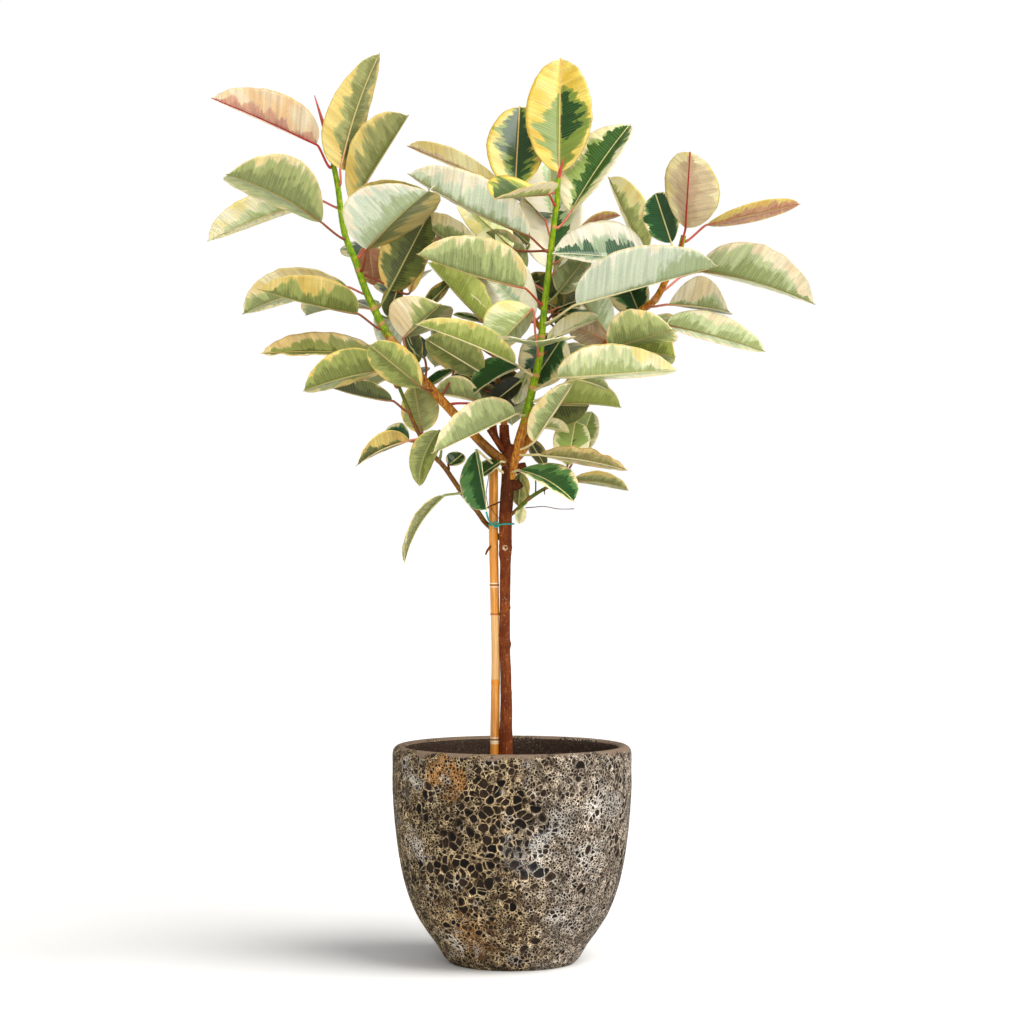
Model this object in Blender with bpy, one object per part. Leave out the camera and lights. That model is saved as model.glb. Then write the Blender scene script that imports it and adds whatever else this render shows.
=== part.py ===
"""Potted rubber plant: a variegated fig with a forked woody trunk, tied to a bamboo cane, in a heavy
glazed pot. Metres, +Z up. The floor is Z = 0 and the pot's axis is the Z axis; the front is -Y."""

import math

import bpy
from mathutils import Vector
from mathutils.bvhtree import BVHTree

# ---------------------------------------------------------------- driving dimensions, millimetres
MM = 0.001
SEAM = 0.3  # clear gap where two separate pieces touch

POT_HEIGHT = 335.0
POT_RIM_RADIUS = 185.0
POT_FOOT_RADIUS = 98.0
POT_WALL = 20.0
POT_FLOOR = 18.0
POT_SIDES = 48
SOIL_TOP = 275.0

STEM_SIDES = 10
STALK_RADIUS = 2.2
LEAF_THICKNESS = 1.6
LEAF_EDGE = 0.5  # half the thickness of the margin

# The crown was measured by sighting square-on from a stand in front of the plant. A point that lies
# nearer to the stand looks bigger, so place() draws it in towards the eye line again.
EYE_DISTANCE = 4240.0
EYE_HEIGHT = 695.5

# ---------------------------------------------------------------- routes of the stems
# Each point is (across, up, back, radius), in millimetres as sighted.
TRUNK = [
    (-9.5, 215, 0, 10), (-9.5, 335, 0, 9.6), (-9, 400, 0, 8.2), (-10, 450, 0, 7.6), (-11, 482, 0, 7.4),
    (-10.5, 491, -1, 8.4), (-11, 500, 0, 7.3), (-11, 550, 0, 7.3), (-10.4, 600, 0, 7.6), (-10, 632, 0, 8.6),
    (-10, 641, -1, 9.4), (-10, 650, 0, 9), (-10, 690, 0, 9.4), (-6, 745, 0, 9.8), (-4, 770, 0, 10.8),
    (-1, 787, 0, 11.5), (4, 799, 0, 9.5),
]
TRUNK_STUBS = [
    [(-4, 758, 0, 6), (13, 764, -4, 6.5), (22, 767, -5, 5.5)],
    [(-5, 742, 0, 5.5), (10, 746, 3, 6), (18, 748, 4, 4.5)],
    [(-4, 780, 3, 7), (-10, 806, 10, 6.5), (-12, 834, 12, 5.5)],
]
CANE = [
    (-26.6, 185, 3, 6.9), (-26.6, 335, 3, 6.9), (-26, 400, 3, 6.5), (-25.2, 475, 3, 6.2),
    (-26.6, 550, 3, 6.5), (-28.5, 650, 3, 6.7), (-28.5, 826, 4, 6.5),
]
STEMS = {
    "leader": [
        (8, 812, 0, 8), (20, 835, 0, 7.4), (28, 870, 0, 6.4), (35, 900, 0, 6), (42, 930, 0, 5.7),
        (45, 960, 0, 5.5), (48, 990, 0, 5.4), (52, 1030, 0, 5.1), (57, 1070, 0, 5), (60, 1100, 0, 4.8),
        (65, 1140, 0, 4.4), (70, 1180, 0, 4.1), (72, 1213, 0, 3.8),
    ],
    "left_branch": [
        (-16, 786, -8, 7.6), (-30, 794, -14, 7.6), (-50, 811, -14, 7.4), (-90, 850, -10, 7), (-130, 892, -12, 6.8),
        (-150, 915, -13, 6.6), (-170, 943, -14, 6.4), (-188, 963, -15, 6.4), (-202, 987, -15, 6.2),
        (-225, 1035, -15, 5.6), (-243, 1085, -15, 5.2), (-260, 1130, -15, 4.9), (-270, 1200, -15, 4.4),
        (-277, 1234, -15, 4.1),
    ],
    "right_branch": [
        (14, 788, 8, 7), (40, 832, 28, 6.6), (75, 880, 50, 6.2), (120, 930, 62, 6), (165, 975, 60, 6),
        (197, 1005, 50, 5.8), (222, 1025, 40, 5.6), (240, 1058, 38, 5), (258, 1095, 38, 4.6),
        (266, 1124, 38, 4.2),
    ],
    "inner_shoot": [
        (-14, 846, 14, 5), (-20, 880, 18, 4.6), (-26, 930, 22, 4.4), (-31, 975, 25, 4.6), (-33, 994, 26, 3),
    ],
    "left_twig": [
        (-19, 655, 11, 3.4), (-30, 668, 17.5, 3.8), (-43, 681, 8, 4), (-54, 697, -5, 4), (-75, 722, -18, 3.9), (-105, 765, -30, 3.7), (-125, 787, -32, 3.5),
        (-143, 815, -34, 3.3), (-155, 840, -36, 3.1), (-165, 865, -38, 2.9), (-176, 892, -40, 2.6),
    ],
    "right_twig": [
        (5, 697, -6, 2.8), (20, 711, -12, 2.8), (30, 719, -16, 3), (55, 734, -22, 2.6), (76, 741, -26, 2.3),
    ],
    "left_bud": [
        (-278, 1239, -14, 4), (-284, 1262, -9, 4.2), (-294, 1298, -3, 3.2), (-306, 1341, 3, 0.9),
    ],
    "top_bud": [(72.5, 1218, 0, 4), (75, 1228, -1, 4.4), (79, 1238, -2, 3), (82, 1247, -2, 1)],
}
GROWS_FROM = {
    "leader": "trunk", "left_branch": "trunk", "right_branch": "trunk", "inner_shoot": "trunk",
    "left_twig": "trunk", "right_twig": "trunk", "left_bud": "left_branch", "top_bud": "leader",
}
# ---------------------------------------------------------------- leaves
# name: (stem, foot height on it, blade base, blade tip, half width, face, fold, arch, paint)
# base and tip are (across, up, back) as sighted. face turns the blade about its midrib, in degrees:
# 0 shows the upper side to the front, 90 turns it to the sky, 180 shows the underside. fold lifts
# each half of the blade. arch lifts the middle of the midrib.
LEAVES = {
    "leaf_01": ("left_branch", 1228, (-303, 1265, -22), (-466, 1337, -60), 55, 121, 29, 4, "young"),
    "leaf_02": ("left_branch", 1200, (-265, 1229, -22), (-205, 1407, -10), 42, 142, 24, 6, "cream"),
    "leaf_04": ("left_branch", 1118, (-296, 1145, -44), (-443, 1219, -150), 66, 130, 24, 6, "green"),
    "leaf_05": ("left_branch", 1166, (-300, 1178, 15), (-472, 1115, 55), 46, 122, 26, 12, "cream"),
    "leaf_07": ("left_branch", 1066, (-222, 1103, -44), (-128, 1194, -150), 70, 138, 26, 4, "pale"),
    "leaf_12": ("leader", 1100, (-20, 1122, 34), (-150, 1148, 66), 42, 128, 26, 8, "green"),
    "leaf_14": ("leader", 1178, (0, 1196, 62), (-163, 1263, 120), 26, 122, 26, -2, "young"),
    "leaf_15": ("leader", 1098, (25, 1124, -14), (-162, 1220, -40), 58, 124, 28, -4, "pale"),
    "leaf_17": ("leader", 1196, (2, 1213, 26), (12, 1322, 130), 46, 8, 20, 0, "cream"),
    "leaf_18": ("leader", 1206, (71, 1222, 22), (71, 1400, 78), 54, 4, 18, 0, "cream"),
    "leaf_19": ("leader", 1136, (92, 1162, 8), (184, 1297, 60), 51, 48, 24, 4, "dark"),
    "leaf_21": ("leader", 1170, (56, 1188, -26), (-28, 1181, -140), 54, 80, 30, 0, "young"),
    "leaf_23": ("leader", 1060, (62, 1078, 44), (72, 1208, 120), 58, 8, 22, 0, "pale"),
    "leaf_24": ("right_branch", 1062, (206, 1080, 8), (62, 1098, -22), 60, 50, 28, 4, "cream"),
    "leaf_25": ("leader", 988, (100, 1017, -34), (320, 1077, -60), 70, 121, 29, 0, "pale"),
    "leaf_27": ("right_branch", 1085, (288, 1070, 18), (470, 1017, -10), 64, 121, 29, 10, "green"),
    "leaf_28": ("right_branch", 1110, (268, 1136, 24), (273, 1254, -60), 50, 205, 18, 0, "young"),
    "leaf_29": ("right_branch", 1120, (303, 1141, 60), (447, 1173, 100), 32, 128, 8, 3, "young"),
    "leaf_30": ("right_branch", 1096, (247, 1113, 56), (222, 1190, 116), 33, 8, 22, 0, "dark"),
    "leaf_31": ("right_branch", 1060, (197, 1112, 110), (149, 1215, 160), 42, 124, 26, 0, "cream"),
    "leaf_33": ("right_branch", 1020, (234, 1020, -20), (331, 1013, -150), 40, 122, 26, 3, "young"),
    "leaf_34": ("right_branch", 990, (240, 984, 14), (393, 944, -16), 38, 126, 24, 10, "green"),
    "leaf_35": ("leader", 930, (150, 954, -58), (250, 982, -150), 46, 140, 24, 0, "cream"),
    "leaf_38": ("leader", 885, (72, 904, -44), (256, 913, -136), 60, 121, 29, -5, "cream"),
    "leaf_40": ("leader", 862, (60, 862, 8), (170, 857, 10), 44, 60, 24, 4, "dark"),
    "leaf_44": ("right_twig", 741, (86, 768, -4), (98, 835, 80), 31, 4, 22, 0, "cream"),
    "leaf_46": ("trunk", 785, (45, 786, -34), (180, 757, -70), 36, 97, 12, 10, "dry"),
    "leaf_47": ("right_twig", 716, (24, 756, -34), (96, 711, -110), 34, 60, 22, 8, "dark"),
    "leaf_51": ("trunk", 755, (-56, 790, -36), (-39, 698, -80), 40, -60, 24, 0, "dark"),
    "leaf_54": ("leader", 844, (5, 847, -34), (-124, 786, -150), 50, 121, 29, 6, "grey"),
    "leaf_56": ("left_branch", 884, (-142, 890, -62), (-221, 955, -130), 32, 168, 22, 0, "cream"),
    "leaf_57": ("left_twig", 888, (-195, 916, -44), (-324, 883, -90), 47, 136, 24, 2, "green"),
    "leaf_58": ("left_branch", 950, (-205, 944, 8), (-390, 945, -20), 44, 66, 22, 4, "dark"),
    "leaf_59": ("left_branch", 1034, (-255, 1044, 12), (-418, 1002, 50), 50, 126, 24, 10, "pale"),
    "leaf_60": ("left_branch", 980, (-243, 1003, -34), (-336, 1012, -150), 56, 130, 24, 6, "cream"),
    "leaf_64": ("left_branch", 938, (-168, 966, -30), (-110, 1018, -105), 54, 140, 22, 0, "cream"),
    "leaf_66": ("leader", 906, (4, 925, -22), (-150, 987, -110), 36, 121, 29, 4, "lime"),
    "leaf_68": ("inner_shoot", 900, (-46, 911, 10), (-134, 964, -16), 38, 150, 22, 0, "green"),
    "leaf_69": ("inner_shoot", 985, (-40, 992, 30), (-128, 1082, 80), 44, 128, 24, 0, "green"),
    "leaf_71": ("leader", 1016, (18, 1043, -28), (-148, 1095, -90), 68, 121, 29, -4, "pale"),
    "leaf_74": ("leader", 936, (40, 952, -16), (36, 960, -200), 60, (0, -0.12, 1), 6, 4, "grey"),
    "leaf_78": ("trunk", 793, (31, 807, -26), (92, 898, -60), 32, 120, 26, 0, "pale"),
    "leaf_82": ("left_twig", 775, (-114, 821, -46), (-144, 735, -80), 22, 24, 22, 8, "green"),
    "leaf_83": ("left_twig", 810, (-168, 809, -50), (-236, 775, -130), 32, 120, 24, 4, "cream"),
    "leaf_85": ("left_twig", 727, (-107, 720, -40), (-167, 616, -70), 32, 92, 22, 10, "dark"),
    "leaf_91": ("leader", 1004, (70, 1012, 50), (120, 1010, 270), 50, (0.1, 0.2, 1), 20, 6, "green"),
    "leaf_92": ("left_branch", 1010, (-190, 1030, 50), (-150, 1060, 260), 50, (0, 0.1, 1), 20, 6, "green"),
}
STALK_STEPS = 3
BLADE_STATIONS = [0.0, 0.05, 0.15, 0.3, 0.48, 0.66, 0.82, 0.93, 1.0]
BLADE_COLUMNS = [-1.0, -0.5, 0.0, 0.5, 1.0]

# colour, roughness, metallic of every material
LOOKS = {
    "crater_glaze": ((0.035, 0.024, 0.018), 0.6, 0.0),
    "potting_soil": ((0.03, 0.018, 0.01), 0.95, 0.0),
    "bark": ((0.19, 0.07, 0.03), 0.8, 0.0),
    "green_stem": ((0.13, 0.32, 0.02), 0.5, 0.0),
    "bamboo": ((0.55, 0.27, 0.06), 0.45, 0.0),
    "bud_sheath": ((0.6, 0.06, 0.03), 0.4, 0.0),
    "plastic_tie": ((0.02, 0.33, 0.27), 0.4, 0.0),
    "leaf_cream": ((0.62, 0.6, 0.3), 0.5, 0.0),
    "leaf_pale": ((0.5, 0.56, 0.36), 0.5, 0.0),
    "leaf_green": ((0.25, 0.36, 0.14), 0.5, 0.0),
    "leaf_grey": ((0.28, 0.36, 0.2), 0.5, 0.0),
    "leaf_lime": ((0.4, 0.45, 0.12), 0.5, 0.0),
    "leaf_dark": ((0.03, 0.12, 0.03), 0.4, 0.0),
    "leaf_young": ((0.6, 0.42, 0.25), 0.5, 0.0),
    "leaf_dry": ((0.33, 0.24, 0.08), 0.6, 0.0),
}
STEM_LOOKS = {
    "left_twig": "bark", "inner_shoot": "bark", "right_twig": "bark", "right_branch": "bark",
    "left_branch": "bark", "leader": "green_stem", "left_bud": "bud_sheath", "top_bud": "bud_sheath",
}


def clear_scene():
    for obj in list(bpy.data.objects):
        bpy.data.objects.remove(obj, do_unlink=True)


def material(name):
    """One Principled material for each look, made once."""
    if name in bpy.data.materials:
        return bpy.data.materials[name]
    colour, roughness, metallic = LOOKS[name]
    made = bpy.data.materials.new(name)
    made.use_nodes = True
    surface = made.node_tree.nodes["Principled BSDF"]
    surface.inputs["Base Color"].default_value = (*colour, 1.0)
    surface.inputs["Roughness"].default_value = roughness
    surface.inputs["Metallic"].default_value = metallic
    return made


def place(across, up, back):
    """A sighted point in its true place, in metres."""
    nearer = 1 + back / EYE_DISTANCE
    return Vector((across * nearer, back, EYE_HEIGHT + (up - EYE_HEIGHT) * nearer)) * MM


def add_mesh(name, points, faces, look):
    mesh = bpy.data.meshes.new(name)
    mesh.from_pydata(points, [], faces)
    mesh.update()
    mesh.materials.append(material(look))
    obj = bpy.data.objects.new(name, mesh)
    bpy.context.collection.objects.link(obj)
    return obj


def loft(rings):
    """Points and faces of a closed skin over rings of equal count, capped at both ends."""
    count = len(rings[0])
    points = [point for ring in rings for point in ring]
    faces = [tuple(reversed(range(count)))]
    for row in range(len(rings) - 1):
        for i in range(count):
            j = (i + 1) % count
            near, far = row * count, (row + 1) * count
            faces.append((near + i, near + j, far + j, far + i))
    faces.append(tuple(range((len(rings) - 1) * count, len(rings) * count)))
    return points, faces


def revolve(profile, sides):
    """A closed skin of (radius, height) points turned about Z; its first and last radius are zero."""
    points = [Vector((0, 0, profile[0][1])) * MM]
    for radius, height in profile[1:-1]:
        for i in range(sides):
            turn = math.tau * i / sides
            points.append(Vector((radius * math.cos(turn), radius * math.sin(turn), height)) * MM)
    points.append(Vector((0, 0, profile[-1][1])) * MM)
    last = len(points) - 1
    rows = len(profile) - 2
    faces = []
    for i in range(sides):
        j = (i + 1) % sides
        faces.append((0, 1 + j, 1 + i))
        for row in range(rows - 1):
            low, high = 1 + row * sides, 1 + (row + 1) * sides
            faces.append((low + i, low + j, high + j, high + i))
        top = 1 + (rows - 1) * sides
        faces.append((top + i, top + j, last))
    return points, faces


def across_axis(direction):
    """Two unit vectors square to a direction."""
    helper = Vector((0, -1, 0)) if abs(direction.y) < 0.9 else Vector((0, 0, 1))
    side = direction.cross(helper).normalized()
    return side, direction.cross(side).normalized()


def tube_rings(centres, radii, sides):
    rings = []
    side = None
    for i, centre in enumerate(centres):
        before, after = centres[max(i - 1, 0)], centres[min(i + 1, len(centres) - 1)]
        along = (after - before).normalized()
        if side is None:
            side, up = across_axis(along)
        else:
            side = (side - along * side.dot(along)).normalized()
            up = along.cross(side)
        turns = [math.tau * (k + 0.5) / sides for k in range(sides)]
        rings.append([centre + (side * math.cos(t) + up * math.sin(t)) * radii[i] for t in turns])
    return rings


def nearest_gap(tree, points):
    return min(tree.find_nearest(point)[3] for point in points)


def seat(start, direction, radius, tree, reach):
    """How far from start, along direction, a round end stops when it clears the tree's skin by SEAM."""
    side, up = across_axis(direction)
    turns = [math.tau * k / 16 for k in range(16)]
    ring = [(side * math.cos(t) + up * math.sin(t)) * radius * r for t in turns for r in (0.5, 1.0)]
    ring += [offset + direction * 5 * MM for offset in ring]
    steps = int(reach / 0.1)
    for step in range(steps, 0, -1):
        centre = start + direction * (step * 0.1 * MM)
        if nearest_gap(tree, [centre + offset for offset in ring]) < (SEAM + 0.1) * MM:
            return (step + 1) * 0.1 * MM
    return reach * MM / 2


def tree_of(obj):
    graph = bpy.context.evaluated_depsgraph_get()
    return BVHTree.FromObject(obj, graph)


def read_route(route):
    return [place(*point[:3]) for point in route], [point[3] * MM for point in route]


def join_solids(target, cutter, operation):
    """Adds or takes away a solid for good, exactly."""
    step = target.modifiers.new(operation.lower(), "BOOLEAN")
    step.operation = operation
    step.solver = "EXACT"
    step.object = cutter
    graph = bpy.context.evaluated_depsgraph_get()
    result = bpy.data.meshes.new_from_object(target.evaluated_get(graph))
    target.modifiers.clear()
    target.data = result
    bpy.data.objects.remove(cutter, do_unlink=True)


def build_pot():
    wall, rim, top = POT_WALL, POT_RIM_RADIUS, POT_HEIGHT
    outside = [
        (POT_FOOT_RADIUS - 3, 0), (POT_FOOT_RADIUS + 1.5, 4), (106, 17), (115, 30), (131, 50), (149, 78),
        (163, 113), (173.5, 155), (181, 210), (rim, 265), (rim, top - 12), (rim - 3.5, top - 3.5),
        (rim - 11, top),
    ]
    inside = [
        (rim - 19, top - 3.5), (rim - wall - 2, top - 12), (rim - wall, 265), (181 - wall, 210),
        (173.5 - wall, 155), (163 - wall, 113), (149 - wall, 78), (131 - wall, 52), (106 - wall, POT_FLOOR + 14),
        (70, POT_FLOOR),
    ]
    profile = [(0, 0)] + outside + inside + [(0, POT_FLOOR)]
    points, faces = revolve(profile, POT_SIDES)
    return add_mesh("pot", points, faces, "crater_glaze")


def build_soil():
    inner = [
        (70 - 1, POT_FLOOR), (106 - POT_WALL, POT_FLOOR + 14), (131 - POT_WALL, 52), (149 - POT_WALL, 78),
        (163 - POT_WALL, 113), (173.5 - POT_WALL, 155), (181 - POT_WALL, 210), (POT_RIM_RADIUS - POT_WALL, 265),
    ]
    lean = SEAM * 1.4
    profile = [(0, POT_FLOOR + SEAM)]
    profile += [(radius - lean, height + SEAM) for radius, height in inner]
    profile += [(POT_RIM_RADIUS - POT_WALL - 3, SOIL_TOP - 3), (120, SOIL_TOP + 1), (60, SOIL_TOP + 3)]
    profile += [(0, SOIL_TOP + 4)]
    points, faces = revolve(profile, POT_SIDES)
    return add_mesh("soil", points, faces, "potting_soil")


def build_stem(name, route, look, parent):
    centres, radii = read_route(route)
    if parent is not None:
        direction = (centres[1] - centres[0]).normalized()
        start = centres[0] - direction * 25 * MM
        centres[0] = start + direction * seat(start, direction, radii[0], parent, 50)
    points, faces = loft(tube_rings(centres, radii, STEM_SIDES))
    return add_mesh(name, points, faces, look), centres


def build_trunk():
    trunk, centres = build_stem("trunk", TRUNK, "bark", None)
    for number, route in enumerate(TRUNK_STUBS):
        stub, _ = build_stem(f"stub_{number}", route, "bark", None)
        join_solids(trunk, stub, "UNION")
    return trunk, centres


def dig_hole(soil, route):
    """Opens the soil around a stem that stands in it."""
    grown = [(x, z, y, radius + SEAM * 1.3) for x, z, y, radius in route]
    grown[0] = (route[0][0], route[0][1] - SEAM * 1.3, route[0][2], route[0][3] + SEAM * 1.3)
    hole, _ = build_stem("hole", grown, "potting_soil", None)
    join_solids(soil, hole, "DIFFERENCE")


def build_tie():
    """A thin wire tie: once around trunk and cane, twisted at the cane, its end up to the left twig."""
    loop = [
        (-40, 696, -9), (-36, 683, -8.5), (-28, 675, -8), (-19, 676, -10.5), (-10, 677, -10.9), (-1, 677, -8.2),
        (2.6, 677, 0), (-1, 677, 8.8), (-10, 677, 12), (-20, 677, 13), (-30, 676, 13),
    ]
    centres = [place(*point) for point in loop]
    points, faces = loft(tube_rings(centres, [1.2 * MM] * len(centres), 6))
    return add_mesh("tie", points, faces, "plastic_tie")


def outline(u):
    """Share of the half width at u along the blade: a broad oval with a short drip tip."""
    if u <= 0.0:
        return 0.05
    if u >= 1.0:
        return 0.02
    oval = math.sin(math.pi * u**0.92) ** 0.56
    if u > 0.9:
        oval *= 1 - 0.45 * (u - 0.9) / 0.1
    return oval


def blade_frame(base, tip, face):
    """Unit vectors along the blade, out of its upper side, and across it, and its lift direction."""
    along = (tip - base).normalized()
    if isinstance(face, tuple):
        upper = Vector(face)
        upper = (upper - along * upper.dot(along)).normalized()
        lift = upper
    else:
        front = Vector((0, -1, 0))
        front = (front - along * front.dot(along)).normalized()
        lift = along.cross(front)
        if lift.z < 0 or (abs(lift.z) < 0.05 and lift.x > 0):
            lift = -lift
        turn = math.radians(face)
        upper = front * math.cos(turn) + lift * math.sin(turn)
    return along, upper, along.cross(upper).normalized(), lift


def leaf_rings(foot, foot_direction, base, tip, half_width, face, fold, arch):
    along, upper, side, lift = blade_frame(base, tip, face)
    length = (tip - base).length
    rise = lift * arch * MM
    start = (along * length + rise * 4).normalized()
    thick = LEAF_THICKNESS * MM
    rings = []
    # the stalk, from its foot on the stem to the blade
    reach = (base - foot).length
    pull = reach * 0.9
    for step in range(STALK_STEPS):
        t = step / STALK_STEPS
        h0, h1 = 2 * t**3 - 3 * t**2 + 1, t**3 - 2 * t**2 + t
        h2, h3 = -2 * t**3 + 3 * t**2, t**3 - t**2
        centre = foot * h0 + foot_direction * pull * h1 + base * h2 + start * pull * h3
        slope = (
            foot * (6 * t**2 - 6 * t) + foot_direction * pull * (3 * t**2 - 4 * t + 1)
            + base * (6 * t - 6 * t**2) + start * pull * (3 * t**2 - 2 * t)
        ).normalized()
        out = (upper - slope * upper.dot(slope)).normalized()
        beside = slope.cross(out)
        ring = []
        for k in range(8):
            turn = math.pi - math.tau * k / 8
            ring.append(centre + (beside * math.cos(turn) + out * math.sin(turn)) * STALK_RADIUS * MM)
        rings.append(ring)
    # the blade
    for u in BLADE_STATIONS:
        centre = base + along * length * u + rise * 4 * u * (1 - u)
        width = half_width * MM * outline(u)
        lean = math.radians(fold)
        top = []
        for column in BLADE_COLUMNS:
            out = abs(column) * width
            bulge = 0.25 * width * math.sin(lean) * abs(column) * (1 - abs(column))
            spread = side * math.copysign(out * math.cos(lean), column)
            top.append(centre + spread + upper * (out * math.sin(lean) + bulge))
        under = [point - upper * thick for point in top]
        under[2] = top[2] - upper * thick * (1.9 - 0.9 * u)
        left = (top[0] + under[0]) / 2
        right = (top[4] + under[4]) / 2
        rings.append([left, top[1], top[2], top[3], right, under[3], under[2], under[1]])
    return rings


def nearest_on_route(centres, height):
    """The point of a route at a height, and the route's direction there."""
    for low, high in zip(centres, centres[1:]):
        if low.z <= height <= high.z:
            share = (height - low.z) / (high.z - low.z)
            return low.lerp(high, share), (high - low).normalized()
    return centres[-1], (centres[-1] - centres[-2]).normalized()


def build_leaf(name, row, stems):
    stem, height, base, tip, half_width, face, fold, arch, paint = row
    tree, centres = stems[stem]
    base, tip = place(*base), place(*tip)
    root, stem_direction = nearest_on_route(centres, place(0, height, 0).z)
    outward = base - root
    outward = (outward - stem_direction * outward.dot(stem_direction)).normalized()
    foot = root + outward * seat(root, outward, STALK_RADIUS * MM, tree, 22)
    rings = leaf_rings(foot, outward, base, tip, half_width, face, fold, arch)
    points, faces = loft(rings)
    return add_mesh(name, points, faces, "leaf_" + paint)


def main():
    clear_scene()
    build_pot()
    soil = build_soil()
    trunk, trunk_line = build_trunk()
    cane, _ = build_stem("bamboo_cane", CANE, "bamboo", None)
    dig_hole(soil, TRUNK[:2])
    dig_hole(soil, CANE[:2])
    build_tie()
    stems = {"trunk": (tree_of(trunk), trunk_line)}
    for name, route in STEMS.items():
        parent = stems[GROWS_FROM[name]][0]
        stem, centres = build_stem(name, route, STEM_LOOKS[name], parent)
        stems[name] = (tree_of(stem), centres)
    for name, row in LEAVES.items():
        build_leaf(name, row, stems)


main()
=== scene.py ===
# %% [markdown]
# # A potted rubber plant, dressed
# The solids of the plant come in as a fixed frame: a pot, its soil, a forked trunk on a bamboo cane, and
# leaves. This lesson gives each of them its real surface. The frame is loaded first, because every later
# place is taken from the same measurements, in metres, with the floor at Z = 0 and the front at -Y.

# %% Load the frame
import math

import bmesh
import bpy
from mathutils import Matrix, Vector, noise


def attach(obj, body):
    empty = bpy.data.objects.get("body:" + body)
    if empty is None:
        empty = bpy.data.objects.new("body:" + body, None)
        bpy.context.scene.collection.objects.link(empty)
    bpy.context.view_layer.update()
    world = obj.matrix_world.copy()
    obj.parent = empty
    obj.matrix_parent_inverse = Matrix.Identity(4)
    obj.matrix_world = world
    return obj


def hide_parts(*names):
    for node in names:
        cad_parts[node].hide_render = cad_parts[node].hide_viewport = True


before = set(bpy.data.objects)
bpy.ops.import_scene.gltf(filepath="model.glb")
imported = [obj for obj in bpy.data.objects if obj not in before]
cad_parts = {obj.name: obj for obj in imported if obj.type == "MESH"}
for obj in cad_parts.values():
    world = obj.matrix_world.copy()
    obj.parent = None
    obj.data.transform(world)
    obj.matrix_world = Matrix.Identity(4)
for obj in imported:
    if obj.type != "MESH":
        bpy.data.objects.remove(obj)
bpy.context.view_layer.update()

print("solids in the frame:", len(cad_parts))

# %% [markdown]
# ## Sighted measures
# Every route and leaf below is written as (across, up, back) in millimetres, the way the camera's stand in front
# of the plant sees it: across and up on the upright plane through the trunk, and back as a distance behind it.
# A point nearer to the stand looks bigger, so `place` draws it in again towards the eye line.

# %% Units and the sighting rule
MM = 0.001
EYE_DISTANCE, EYE_HEIGHT = 4240.0, 695.5


def place(across, up, back):
    """The true place, in metres, of a point that the camera sees at (across, up), `back` behind the trunk."""
    nearer = 1 + back / EYE_DISTANCE
    return Vector((across * nearer, back, EYE_HEIGHT + (up - EYE_HEIGHT) * nearer)) * MM


def smooth_route(points, step):
    """A smooth line through rows of numbers, with a row about every `step` of length (first three numbers)."""
    rows = []
    for i in range(len(points) - 1):
        a, b, c, d = (points[max(0, min(j, len(points) - 1))] for j in (i - 1, i, i + 1, i + 2))
        parts = max(1, round(math.dist(b[:3], c[:3]) / step))
        for k in range(parts):
            t = k / parts
            rows.append(tuple(
                0.5 * (2 * q + (r - p) * t + (2 * p - 5 * q + 4 * r - s) * t * t + (3 * q - p - 3 * r + s) * t**3)
                for p, q, r, s in zip(a, b, c, d)
            ))
    rows.append(tuple(points[-1]))
    return rows


print("a point 100 mm nearer is drawn in by a factor of", round(1 - 100 / EYE_DISTANCE, 4))

# %% [markdown]
# ## Camera
# The plant is seen level and square-on from about four metres, so the trunk stays upright and the far rim of
# the pot is only just visible over the near one. A long lens gives that calm, flat perspective.

# %% Camera
scene = bpy.context.scene


def add_object(name, data):
    """A new object in the scene, at the origin."""
    obj = bpy.data.objects.new(name, data)
    scene.collection.objects.link(obj)
    return obj


camera_data = bpy.data.cameras.new("camera")
camera_data.lens = 96.2
camera_data.sensor_width = 36.0
camera_data.clip_end = 100.0
camera = scene.camera = add_object("camera", camera_data)
camera.location = (0.0, -EYE_DISTANCE * MM, EYE_HEIGHT * MM)
camera.rotation_euler = (math.radians(90), 0, 0)
print("camera lens", camera_data.lens, "mm, at", tuple(camera.location))

# %% [markdown]
# ## Helpers for materials
# Colours are written as the hex values a paint chart gives and turned into linear light by one function. A
# second function adds a node, sets it and links it, so that each material below reads as a short recipe. The
# names in capitals are the kinds of node: a type, its settings, the order of its inputs, and its usual output.

# %% Colour and node helpers


def linear(hex_colour):
    """An sRGB hex colour as linear RGBA."""
    parts = [int(hex_colour[i:i + 2], 16) / 255 for i in (1, 3, 5)]
    return tuple(c / 12.92 if c <= 0.04045 else ((c + 0.055) / 1.055) ** 2.4 for c in parts) + (1.0,)


ALL = slice(None)  # every output of a node
TIMES, PLUS, MINUS, TIMES_PLUS, LOWER, HIGHER, ABOVE, BELOW, UNSIGNED, FRACTION = (
    ("ShaderNodeMath", {"operation": name}) for name in (
        "MULTIPLY", "ADD", "SUBTRACT", "MULTIPLY_ADD", "MINIMUM", "MAXIMUM", "GREATER_THAN", "LESS_THAN", "ABSOLUTE",
        "FRACT"))
V_TIMES, V_PLUS, V_MINUS = (
    ("ShaderNodeVectorMath", {"operation": name}) for name in ("MULTIPLY", "ADD", "SUBTRACT"))
V_SCALED = ("ShaderNodeVectorMath", {"operation": "SCALE"}, ("Vector", "Scale"))
V_DISTANCE, V_LENGTH = (
    ("ShaderNodeVectorMath", {"operation": name}, (0, 1), "Value") for name in ("DISTANCE", "LENGTH"))
RANGE, SOFT_RANGE = (("ShaderNodeMapRange", {"interpolation_type": name}) for name in ("LINEAR", "SMOOTHSTEP"))
SPLIT, JOIN, GREY = ("ShaderNodeSeparateXYZ", "ShaderNodeCombineXYZ", "ShaderNodeCombineColor")
MIX, BLEND = ("ShaderNodeMix", {}, (0, 2, 3)), ("ShaderNodeMix", {"data_type": "RGBA"}, (0, 6, 7), 2)
NOISE = ("ShaderNodeTexNoise", {}, ("Vector", "Scale", "Detail", "Roughness"))
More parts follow.
